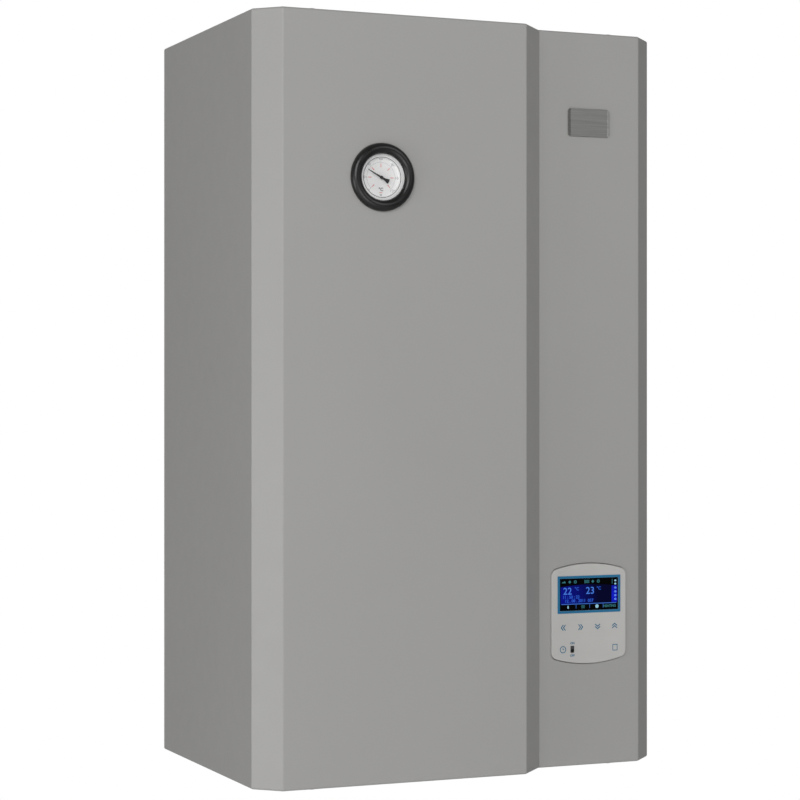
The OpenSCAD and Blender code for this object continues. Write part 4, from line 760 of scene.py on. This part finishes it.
def cover_section(casing, low, high, steps=6):
    """Closed section of the folded sheet as depths into the casing and heights.

    The outer face runs up the wall and over both flanges, and the inner face runs back at one
    sheet's distance from it.
    """
    r, t, w = casing.fold, casing.sheet, casing.flange
    a = np.linspace(0, QUARTER, steps + 1)
    outer = np.concatenate([
        [[w, low]], paired(r - r * np.sin(a), low + r - r * np.cos(a)),
        paired(r - r * np.cos(a), high - r + r * np.sin(a)), [[w, high]]])
    s = r - t
    inner = np.concatenate([
        [[w, high - t]], paired(r - s * np.sin(a), high - r + s * np.cos(a)),
        paired(r - s * np.cos(a), low + r - s * np.sin(a)), [[w, low + t]]])
    return np.concatenate([outer, inner])


def folded_sheet(casing):
    """The cover's section carried along the casing's outline, closed at both ends."""
    line, normal, corner, mitre, convex = casing_path(casing)
    section = cover_section(casing, COVER.low.z, COVER.high.z)
    depth = section[:, 0][:, None, None]
    plan = np.where(
        convex[:, None] & (depth > casing.bend), corner + mitre * depth, line + normal * depth)
    height = np.broadcast_to(section[:, 1][:, None, None], plan.shape[:2] + (1,))
    points = np.concatenate([plan, height], -1)
    rows, columns = points.shape[:2]
    first = np.arange(rows) * columns
    return closed(grid(points, close_rows=True), first, first + columns - 1)


def upright_plug(x, y, radius, low, high):
    """Closed upright cylinder, used to cut a hole."""
    points, faces = slab(circle(radius, 32), (x, y), low, high)
    return points[:, [0, 2, 1]], faces


def screw_places(casing):
    """Places of the cover screws, seen from above."""
    left = COVER.low.x + casing.left_chamfer + casing.screw_in
    right = COVER.high.x - casing.right_chamfer - casing.screw_in
    near = COVER.low.y + casing.flange / 2
    return [(left, near), (right, near + casing.step_depth)]


def block(low, high):
    """Closed box between two corners."""
    low, high = np.minimum(low, high), np.maximum(low, high)
    k = np.array([[i, j, l] for l in (0, 1) for i, j in ((0, 0), (1, 0), (1, 1), (0, 1))])
    faces = [[0, 3, 2, 1], [4, 5, 6, 7], [0, 1, 5, 4], [1, 2, 6, 5], [2, 3, 7, 6], [3, 0, 4, 7]]
    return low + k * (high - low), faces


class BOILER_OT_finishes(bpy.types.Operator):
    """Make the materials and give them to the inner works"""

    bl_idname = "boiler.finishes"
    bl_label = "Finishes"

    def execute(self, context):
        scene = context.scene
        finishes = make_finishes(scene.boiler_finish)
        scene["boiler_slots"] = {slot: material.name for slot, material in finishes.items()}
        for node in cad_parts.values():
            for slot in node.material_slots:
                slot.material = finishes[slot.material.name.split(".")[0]]
        return {"FINISHED"}


class BOILER_OT_cover(bpy.types.Operator):
    """Fold the sheet cover and cut its openings"""

    bl_idname = "boiler.cover"
    bl_label = "Cover"

    def execute(self, context):
        casing, panel = context.scene.boiler_casing, context.scene.boiler_panel
        cover = mesh_object("cover_sheet", folded_sheet(casing))
        window = bowed_rectangle(
            FASCIA.width + 2 * casing.gap, FASCIA.height + 2 * casing.end_gap, panel.bow,
            panel.corner + casing.gap)
        near, face, over = COVER.low.y, COVER.low.y + casing.step_depth, 5 * MM
        cutters = [
            slab(circle(BEZEL.width / 2 + casing.gap, 96), BEZEL.spot, near + over, near - over),
            slab(window, FASCIA.spot, face + over, face - over)]
        cutters += [
            upright_plug(x, y, casing.screw_hole, z - over, z + over)
            for x, y in screw_places(casing) for z in (COVER.high.z, COVER.low.z)]
        cut_away(cover, cutters)
        place(cover, "cover", "painted_cover", "front_cover")
        even_shading(cover)
        return {"FINISHED"}


class BOILER_OT_badge(bpy.types.Operator):
    """Press the plain badge plate, with its face sunk between two rims"""

    bl_idname = "boiler.badge"
    bl_label = "Badge plate"

    def execute(self, context):
        casing, near = context.scene.boiler_casing, BADGE.low.y
        roll, dish = casing.badge_roll, casing.badge_dish
        insets, depths = rolled_edge(roll, near, BADGE.high.y)
        inward = dish * np.linspace(0, 1, 9)[1:]
        points, faces = plate(
            rounded_rectangle(BADGE.width, BADGE.height, casing.badge_corner), BADGE.spot,
            np.concatenate([insets, roll + inward]),
            np.concatenate([depths, np.full(len(inward), near)]))
        side = np.minimum(points[:, 0] - BADGE.low.x, BADGE.high.x - points[:, 0]) - roll
        t = np.clip(side / dish, 0, 1) * (points[:, 1] < BADGE.middle.y)
        points[:, 1] += casing.badge_sink * (3 * t ** 2 - 2 * t ** 3)
        badge = mesh_object("badge_blank", (points, faces), 50)
        place(badge, "cover", "badge", "badge_plate")
        even_shading(badge)
        return {"FINISHED"}


class BOILER_OT_screws(bpy.types.Operator):
    """Turn the cover screws with their domed, cross-slotted heads"""

    bl_idname = "boiler.screws"
    bl_label = "Cover screws"

    def execute(self, context):
        casing = context.scene.boiler_casing
        head, rise = casing.screw_head, SCREWS.high.z - COVER.high.z
        length, shank = 7 * MM, casing.screw_hole - 0.2 * MM
        cross_length, cross_width = 2.2 * MM, 0.45 * MM
        cross_foot, cross_top = 0.3 * rise, 1.4 * rise
        a, turns = np.linspace(0, QUARTER, 7), full_turn(32)
        r = np.concatenate([[0, shank, shank, head], head * np.cos(a)])[:, None]
        z = np.concatenate([[-length, -length, 0, 0], rise * np.sin(a)])[:, None]
        parts, crosses = [], []
        for x, y in screw_places(casing):
            for sign, seat in ((1, COVER.high.z), (-1, COVER.low.z)):
                points = paired(x + r * np.cos(turns), y + r * np.sin(turns), seat + sign * z)
                parts.append(grid(points, close_columns=True))
                for i, j in ((cross_length, cross_width), (cross_width, cross_length)):
                    crosses.append(block(
                        (x - i, y - j, seat + sign * cross_foot),
                        (x + i, y + j, seat + sign * cross_top)))
        screws = mesh_object("domed_screws", joined(parts))
        cut_away(screws, crosses[0::2])
        cut_away(screws, crosses[1::2])
        place(screws, "cover", "zinc_screw", "cover_screws")
        return {"FINISHED"}


# Thermometer


def dial_point(radius, angle):
    """Point on the dial at a radius and an angle from the right."""
    return np.array([radius * math.cos(angle), radius * math.sin(angle)])


def radial_tick(inner, outer, angle, width):
    """Outline of a straight tick that points at the dial's centre."""
    return stroke([dial_point(inner, angle), dial_point(outer, angle)], width)


def low_mark(radius, half_angle, width):
    """Outline of a short mark across the bottom of the dial, with its half angle in degrees."""
    ends = np.radians([-90 - half_angle, -90 + half_angle])
    return stroke([dial_point(radius, t) for t in ends], width)


class BOILER_OT_bezel(bpy.types.Operator):
    """Turn the thermometer's rounded black ring"""

    bl_idname = "boiler.bezel"
    bl_label = "Bezel"

    def execute(self, context):
        gauge = context.scene.boiler_gauge
        outer, near, rear = BEZEL.width / 2, BEZEL.low.y, BEZEL.high.y
        crown, opening, floor, edge = gauge.crown, gauge.opening, near + gauge.lip, 0.2 * MM
        a = np.linspace(0, QUARTER, 13)
        roll_out = paired(crown + (outer - crown) * np.cos(a), near + gauge.roll * (1 - np.sin(a)))
        roll_in = paired(
            crown - (crown - opening) * np.sin(a), near + (gauge.lip - edge) * (1 - np.cos(a)))
        back = [[opening, floor], [gauge.wall, floor], [gauge.wall, rear], [outer, rear]]
        profile = np.concatenate([roll_out, roll_in[1:], back])
        ring = mesh_object("bezel_ring", turned(profile, BEZEL.spot, 128), 35)
        place(ring, "chassis", "black_gloss", "gauge_bezel")
        return {"FINISHED"}


class BOILER_OT_dial(bpy.types.Operator):
    """Press the dial with its raised rim, paint shade along the rim's inner edge, and print its
    scale
    """

    bl_idname = "boiler.dial"
    bl_label = "Dial"

    def execute(self, context):
        gauge, spot = context.scene.boiler_gauge, DIAL.spot
        near, rear, outer, face = DIAL.low.y - gauge.raised, DIAL.high.y, DIAL.width / 2, gauge.face
        top, flare = near - gauge.rim, near - gauge.flare
        spindle, foot, edge = 0.95 * MM, 0.5 * MM, 0.1 * MM
        collar = gauge.opening + 0.7 * MM
        behind = collar + 0.5 * MM
        a = np.linspace(0, QUARTER, 7)
        profile = np.concatenate([
            [[spindle, rear], [spindle, near], [face - foot, near]],
            paired(face - foot + foot * np.sin(a), near - foot * (1 - np.cos(a)))[1:],
            [[face, top + edge], [face + edge, top], [collar, top], [collar, flare],
             [behind, flare], [behind, DIAL.low.y], [outer, DIAL.low.y], [outer, rear]]])
        place(mesh_object("dial_face", turned(profile, spot, 128), 35),
              "chassis", "dial_white", "gauge_dial")
        # Thin dark ring along the inner edge of the rim's top, where the rim drops to the face:
        # painted shade standing in for the shadow at that edge, not print.
        inner, outer, proud, sunk = face + edge, face + 0.55 * MM, top - 0.05 * MM, top + 0.2 * MM
        line = np.array([[inner, sunk], [inner, proud], [outer, proud], [outer, sunk]])
        place(mesh_object("dial_rim_painted_shade", turned(line, spot, 128), 35), "chassis", "dark_plastic")

        values = np.arange(0, gauge.high + 1, gauge.step)
        spread = (gauge.high_angle - gauge.low_angle) / gauge.high
        angles = gauge.low_angle + values * spread
        fine = gauge.low_angle + np.arange(0, gauge.high + 1, gauge.step // 4) * spread
        ring, width, thin = gauge.scale_ring, 0.36 * MM, 0.14 * MM
        start, end = ring - gauge.tick / 4, ring + gauge.tick / 2
        marks = [printed(radial_tick(start, end, t, width), spot, near) for t in angles]
        marks += [printed(radial_tick(start, ring, t, width / 2), spot, near) for t in fine]
        sweep = np.linspace(gauge.low_angle, gauge.high_angle, 97)
        marks.append(printed(
            stroke(paired(ring * np.cos(sweep), ring * np.sin(sweep)), thin), spot, near, SINK))
        marks += [lettering(str(v), gauge.numerals, spot + dial_point(gauge.numeral_ring, t), near)
                  for v, t in zip(values, angles)]
        marks.append(lettering("°C", gauge.unit, spot - (0, gauge.unit_drop), near, 0.16))
        marks.append(printed(low_mark(15.9 * MM, 4, 0.9 * MM), spot, near))
        place(mesh_object("dial_scale", joined(marks)), "chassis", "needle_black",
              material=moulded("scale_grey", gauge.grey, 0.6))

        end, foot_half, end_half = start - 0.7 * MM, 0.42 * MM, 0.2 * MM
        wedge = np.array([(end - gauge.red_tick, -foot_half), (end, -end_half),
                          (end, end_half), (end - gauge.red_tick, foot_half)])
        reds = [printed(rotated(wedge, t), spot, near) for t in angles]
        reds.append(printed(low_mark(13.9 * MM, 6, 0.6 * MM), spot, near))
        place(mesh_object("dial_red_ticks", joined(reds)), "chassis", "red_plastic",
              material=moulded("scale_red", gauge.red, 0.6))
        return {"FINISHED"}


class BOILER_OT_needle(bpy.types.Operator):
    """Cut the needle with its fan-shaped counterweight and hub"""

    bl_idname = "boiler.needle"
    bl_label = "Needle"

    def execute(self, context):
        gauge, spot = context.scene.boiler_gauge, DIAL.spot
        tip, tail = gauge.needle, gauge.needle_tail
        waist, half = gauge.needle_waist, gauge.needle_width / 2
        bulge, thick, bevel = 0.4 * MM, 0.6 * MM, 0.12 * MM
        t = np.linspace(1, -1, 7)
        fan = paired(-tail - bulge * (1 - t ** 2), t * gauge.tail_width / 2)
        shape = np.concatenate([
            [(tip, -half / 4), (tip, half / 4), (-waist, half)], fan, [(-waist, -half)]])
        shape = rotated(shape, gauge.reading)
        near = NEEDLE.low.y + thick
        blade = plate(shape, spot, [0, 0, bevel], [near + thick, near + bevel, near])
        axle, cap, cap_height, rear = 0.8 * MM, 1.6 * MM, 0.9 * MM, NEEDLE.high.y
        seat = near + 0.3 * MM
        a = np.linspace(0, QUARTER, 6)
        hub = np.concatenate([
            [[0, rear], [axle, rear], [axle, seat], [cap, seat]],
            paired(cap * np.cos(a), NEEDLE.low.y + cap_height - cap_height * np.sin(a))])
        needle = mesh_object("pointer", joined([blade, turned(hub, spot, 32, close=False)]), 40)
        place(needle, "needle", "needle_black", "gauge_needle")
        return {"FINISHED"}


# Control unit


class BOILER_OT_fascia(bpy.types.Operator):
    """Mould the control unit's front, and print its frame and switch labels"""

    bl_idname = "boiler.fascia"
    bl_label = "Fascia"

    def execute(self, context):
        panel, glass = context.scene.boiler_panel, SCREEN.spot
        near, rear, width, height = FASCIA.low.y, FASCIA.high.y, SCREEN.width, SCREEN.height
        over, corner, play, edge = 1 * MM, 0.3 * MM, 0.2 * MM, 2 * panel.window_edge
        outline = bowed_rectangle(FASCIA.width, FASCIA.height, panel.bow, panel.corner)
        fascia = mesh_object(
            "fascia_moulding", plate(outline, FASCIA.spot, *rolled_edge(panel.roll, near, rear)))
        seat = rounded_rectangle(width + play, height + play, corner, 2)
        window = rounded_rectangle(width - edge, height - edge, corner, 2)
        slot = rounded_rectangle(panel.slot_width, panel.slot_height, corner, 3)
        slot_spot = np.array([SLIDER.middle.x, KEYS["clock"].middle.z])
        key = circle(panel.key_radius + panel.key_gap)
        cut_away(fascia, [slab(seat, glass, SCREEN.high.y, near - over)])
        holes = [(window, glass), (slot, slot_spot), *((key, k.spot) for k in KEYS.values())]
        cut_away(fascia, [slab(hole, spot, rear + over, near - over) for hole, spot in holes])
        place(fascia, "chassis", "light_plastic", "control_fascia")
        even_shading(fascia)

        blue = moulded("frame_blue", panel.blue, 0.35)
        rim, play, proud = 2 * panel.frame_edge, 0.3 * MM, 0.25 * MM
        outer = rounded_rectangle(width + rim, height + rim, 0.5 * MM, 4)
        inner = rounded_rectangle(width + play, height + play, corner, 4)
        frame_ring = mesh_object(
            "blue_frame", ring_plate(outer, inner, glass, near + SINK, near - proud))
        place(frame_ring, "chassis", "light_plastic", material=blue)
        labels = joined([
            lettering(word, panel.label, slot_spot + (0, rise * MM), near, 0.1)
            for word, rise in (("ON", 5.8), ("OFF", -5.9))])
        ink = moulded("symbol_ink", panel.ink, 0.5)
        place(mesh_object("switch_labels", labels), "chassis", "light_plastic", material=ink)
        thick, below = 0.1 * MM, 0.1 * MM
        lining = slot * (1 - 2 * thick / panel.slot_width)
        walls = mesh_object(
            "slot_lining", ring_plate(slot, lining, slot_spot, rear, near + below))
        place(walls, "chassis", "dark_plastic",
              material=moulded("slot_grey", (0.075, 0.075, 0.076), 0.5))
        return {"FINISHED"}


def chevrons(size, angle):
    """Two V-shaped strokes, one behind the other, that point along an angle."""
    half, step = size / 2, size * 0.42
    rear, tip, back = half * 0.35, half * 0.45, half * 0.05
    arm = np.array([[-rear, half], [tip, 0], [-rear, -half]])
    return [rotated(arm + [shift - back, 0], angle) for shift in (-step / 2, step / 2)]


class BOILER_OT_keys(bpy.types.Operator):
    """Print each key's own symbol on its cap"""

    bl_idname = "boiler.keys"
    bl_label = "Keys"

    def execute(self, context):
        panel, near = context.scene.boiler_panel, KEYS["left"].low.y
        size, tall, width = panel.symbol, panel.symbol * 1.12, panel.stroke
        radius, rim, edge = 3.35 * MM, 0.8 * width, 1.4 * width
        hand, short_hand, hand_width = 1.9 * MM, 1.3 * MM, width * 0.6
        turns = {"left": math.pi, "right": 0.0, "down": -QUARTER, "up": QUARTER}
        symbols = {
            key: [printed(stroke(arm, width), KEYS[key].spot, near) for arm in chevrons(size, turn)]
            for key, turn in turns.items()}
        spot, hands = KEYS["clock"].spot, stroke([(0, hand), (0, 0), (short_hand, 0)], hand_width)
        symbols["clock"] = [
            printed_ring(circle(radius), circle(radius - rim), spot, near),
            printed(hands, spot, near)]
        outer = rounded_rectangle(size, tall, 0.3 * MM, 3)
        inner = rounded_rectangle(size - edge, tall - edge, 0.2 * MM, 3)
        symbols["square"] = [printed_ring(outer, inner, KEYS["square"].spot, near)]
        for key, marks in symbols.items():
            place(mesh_object(key + "_symbol", joined(marks)), key + "_key", "light_plastic",
                  material=bpy.data.materials["symbol_ink"])
        return {"FINISHED"}


def on_screen(across, down):
    """Place on the screen's front at a share of its width and of its height."""
    return np.array([SCREEN.low.x + across * SCREEN.width, SCREEN.high.z - down * SCREEN.height])


def screen_line(start, end, thickness):
    """Straight line on the screen from one share of its width and height to another."""
    return printed(
        stroke([on_screen(*start), on_screen(*end)], thickness * MM), FLAT, SCREEN.low.y - LAYER)


def screen_words(height, weight, *words):
    """Words on the screen, each with the share of its width and height where its middle lies."""
    return [lettering(text, height * MM, on_screen(across, down), SCREEN.low.y - LAYER, weight)
            for text, across, down in words]


def screen_shapes(outline, *places):
    """One shape on the screen at several places."""
    return [printed(outline + on_screen(*at), FLAT, SCREEN.low.y - LAYER) for at in places]


def show(name, marks, material):
    """Makes one piece of the marks on the screen."""
    place(mesh_object(name, joined(marks)), "chassis", "screen", material=material)


class BOILER_OT_screen(bpy.types.Operator):
    """Light the screen with plain numbers, lines and icons"""

    bl_idname = "boiler.screen"
    bl_label = "Screen"

    def execute(self, context):
        panel, near, width, height = (
            context.scene.boiler_panel, SCREEN.low.y, SCREEN.width, SCREEN.height)
        outline = rounded_rectangle(width, height, 0.3 * MM, 3)
        glass = mesh_object("screen_pane", plate(
            outline, SCREEN.spot, *rolled_edge(0.15 * MM, near, SCREEN.high.y, 3)))
        place(glass, "chassis", "screen", "display_glass", material=screen_glass())
        even_shading(glass)

        u = np.linspace(0.99, 0.012, 25)
        arch = np.concatenate([
            [on_screen(0.012, 0.785), on_screen(0.99, 0.785)],
            paired(*on_screen(u, 0.195 + 0.28 * (u - 0.5) ** 2))])
        column = np.array([on_screen(*corner) for corner in (
            (0.888, 0.775), (0.985, 0.775), (0.985, 0.25), (0.888, 0.25))])
        for name, shape, face, bright, reach, low, high in (
                ("screen_glow", arch, near, (-0.15, 0.55), (0.8, 1.1), 0.04, 0.62),
                ("screen_column", column, near - LAYER, (0.9, 0.6), (0.3, 0.8), 0.35, 1.1)):
            (x, z), (wide, tall) = on_screen(*bright), reach
            show(name, [printed(shape, FLAT, face)], lit_field(
                name, panel.glow, (x, near, z), (wide * width, 1.0, tall * height), low, high))

        show("screen_numbers", screen_words(6.8, 0.02, ("22", 0.130, 0.385), ("23", 0.515, 0.385)),
             glowing("screen_digits", panel.digits, 1.0))
        show("screen_text", screen_words(3.1, 0.08, ("°C", 0.290, 0.32), ("°C", 0.668, 0.32))
             + screen_words(2.9, 0.10, ("11 : 50 : 22", 0.195, 0.575),
                            ("12 . 08 . 2011  057", 0.335, 0.695)),
             glowing("screen_small_text", panel.small, 1.0))
        show("screen_rules", [screen_line((0.025, 0.795), (0.97, 0.795), 0.7)]
             + [screen_line((u, 0.80), (u, 0.935), 0.4) for u in (0.276, 0.509, 0.741)],
             glowing("screen_lines", panel.digits, 0.7))

        hill, rhomb, drop = (np.array(outline) * MM for outline in (HILL, RHOMB, DROP))
        marks = screen_shapes(hill, (0.066, 0.105))
        marks += screen_shapes(rhomb, (0.168, 0.105), (0.563, 0.105))
        marks += [printed_ring(circle(1.5 * MM, 24), circle(0.75 * MM, 24), on_screen(u, 0.105),
                               near - LAYER) for u in (0.263, 0.658)]
        marks += [screen_line(*line) for line in ICON_LINES]
        marks += screen_words(2.3, 0.08, ("HEATING", 0.855, 0.885))
        show("screen_symbols", marks, glowing("screen_icons", panel.icons, 1.0))
        show("screen_lamps", screen_shapes(drop, (0.139, 0.885))
             + screen_shapes(circle(1.75 * MM, 24), (0.635, 0.885))
             + screen_shapes(circle(1.1 * MM, 16) * [1, 0.8], (0.953, 0.10), (0.953, 0.20)),
             glowing("screen_bright", panel.lamps, 1.0))
        show("screen_column_dots", screen_shapes(
            circle(1.3 * MM, 16) * [1, 0.85], *((0.953, v) for v in (0.325, 0.445, 0.565, 0.68))),
            glowing("screen_dots", panel.dots, 1.0))
        return {"FINISHED"}


# Stage


class BOILER_OT_stage(bpy.types.Operator):
    """Set the camera, the soft studio lights and the pale floor"""

    bl_idname = "boiler.stage"
    bl_label = "Stage"

    def execute(self, context):
        scene, stage = context.scene, context.scene.boiler_stage
        camera = bpy.data.objects.new("camera", bpy.data.cameras.new("camera"))
        camera.data.lens = stage.lens
        camera.data.sensor_width = SENSOR
        camera.data.shift_y = stage.shift
        camera.data.clip_end = FAR
        camera.location = stage.camera
        camera.rotation_euler = (QUARTER, 0.0, stage.turn)
        scene.collection.objects.link(camera)
        scene.camera = camera

        key_light = (
            "key_light", stage.key_turn, 0.35, stage.key_distance, stage.key_size, stage.key_power)
        for name, turn, rise, distance, size, power in (key_light, *FILLS):
            data = bpy.data.lights.new(name, "AREA")
            data.size, data.energy = size, power
            lamp = bpy.data.objects.new(name, data)
            lamp.location = (
                -math.sin(turn) * distance, -math.cos(turn) * distance, rise * distance)
            lamp.rotation_euler = (-Vector(lamp.location)).to_track_quat("-Z", "Y").to_euler()
            scene.collection.objects.link(lamp)

        world = bpy.data.worlds.new("studio")
        world.use_nodes = True
        nodes = world.node_tree.nodes
        seen = wired(nodes["Background"], {"Color": PURE_WHITE})
        soft = wired(nodes.new("ShaderNodeBackground"), {
            "Color": PURE_WHITE, "Strength": stage.ambient})
        path = nodes.new("ShaderNodeLightPath")
        mix = wired(nodes.new("ShaderNodeMixShader"), {
            "Fac": path.outputs["Is Camera Ray"], 1: soft.outputs["Background"],
            2: seen.outputs["Background"]})
        wired(nodes["World Output"], {"Surface": mix.outputs["Shader"]})
        scene.world = world
        scene.view_settings.view_transform = "Standard"

        a = full_turn(96)
        r = np.array([0.0, 0.5, 1.0])[:, None] * stage.floor_radius
        points = paired(r * np.cos(a), r * np.sin(a), -stage.floor_drop)
        floor = mesh_object("floor", grid(points, close_columns=True))
        white = surface("floor_white", FLOOR_DARK, roughness=0.7)
        vary_colour(white, noise(white, 3.0), FLOOR_DARK, FLOOR_LIGHT)
        floor.data.materials.append(white)
        return {"FINISHED"}


class BOILER_PT_panel(bpy.types.Panel):
    """Lists the boiler's operators in the sidebar"""

    bl_idname = "BOILER_PT_panel"
    bl_label = "Electric boiler"
    bl_space_type = "VIEW_3D"
    bl_region_type = "UI"
    bl_category = "Boiler"

    def draw(self, context):
        for operator in OPERATORS:
            self.layout.operator(operator.bl_idname)


SETTINGS = {
    "boiler_casing": CasingSettings, "boiler_gauge": GaugeSettings, "boiler_panel": PanelSettings,
    "boiler_finish": FinishSettings, "boiler_stage": StageSettings}
OPERATORS = (
    BOILER_OT_stage, BOILER_OT_finishes, BOILER_OT_cover, BOILER_OT_badge, BOILER_OT_screws,
    BOILER_OT_bezel, BOILER_OT_dial, BOILER_OT_needle, BOILER_OT_fascia, BOILER_OT_keys,
    BOILER_OT_screen)


def register():
    """Registers the settings, the operators and the panel."""
    for name, group in SETTINGS.items():
        bpy.utils.register_class(group)
        setattr(bpy.types.Scene, name, bpy.props.PointerProperty(type=group))
    for operator in OPERATORS:
        bpy.utils.register_class(operator)
    bpy.utils.register_class(BOILER_PT_panel)


def unregister():
    """Takes back what register did."""
    bpy.utils.unregister_class(BOILER_PT_panel)
    for operator in reversed(OPERATORS):
        bpy.utils.unregister_class(operator)
    for name, group in reversed(SETTINGS.items()):
        delattr(bpy.types.Scene, name)
        bpy.utils.unregister_class(group)


def main():
    """Makes every piece in order."""
    register()
    for operator in OPERATORS:
        getattr(bpy.ops.boiler, operator.bl_idname.split(".")[1])()


if __name__ == "__main__":
    main()
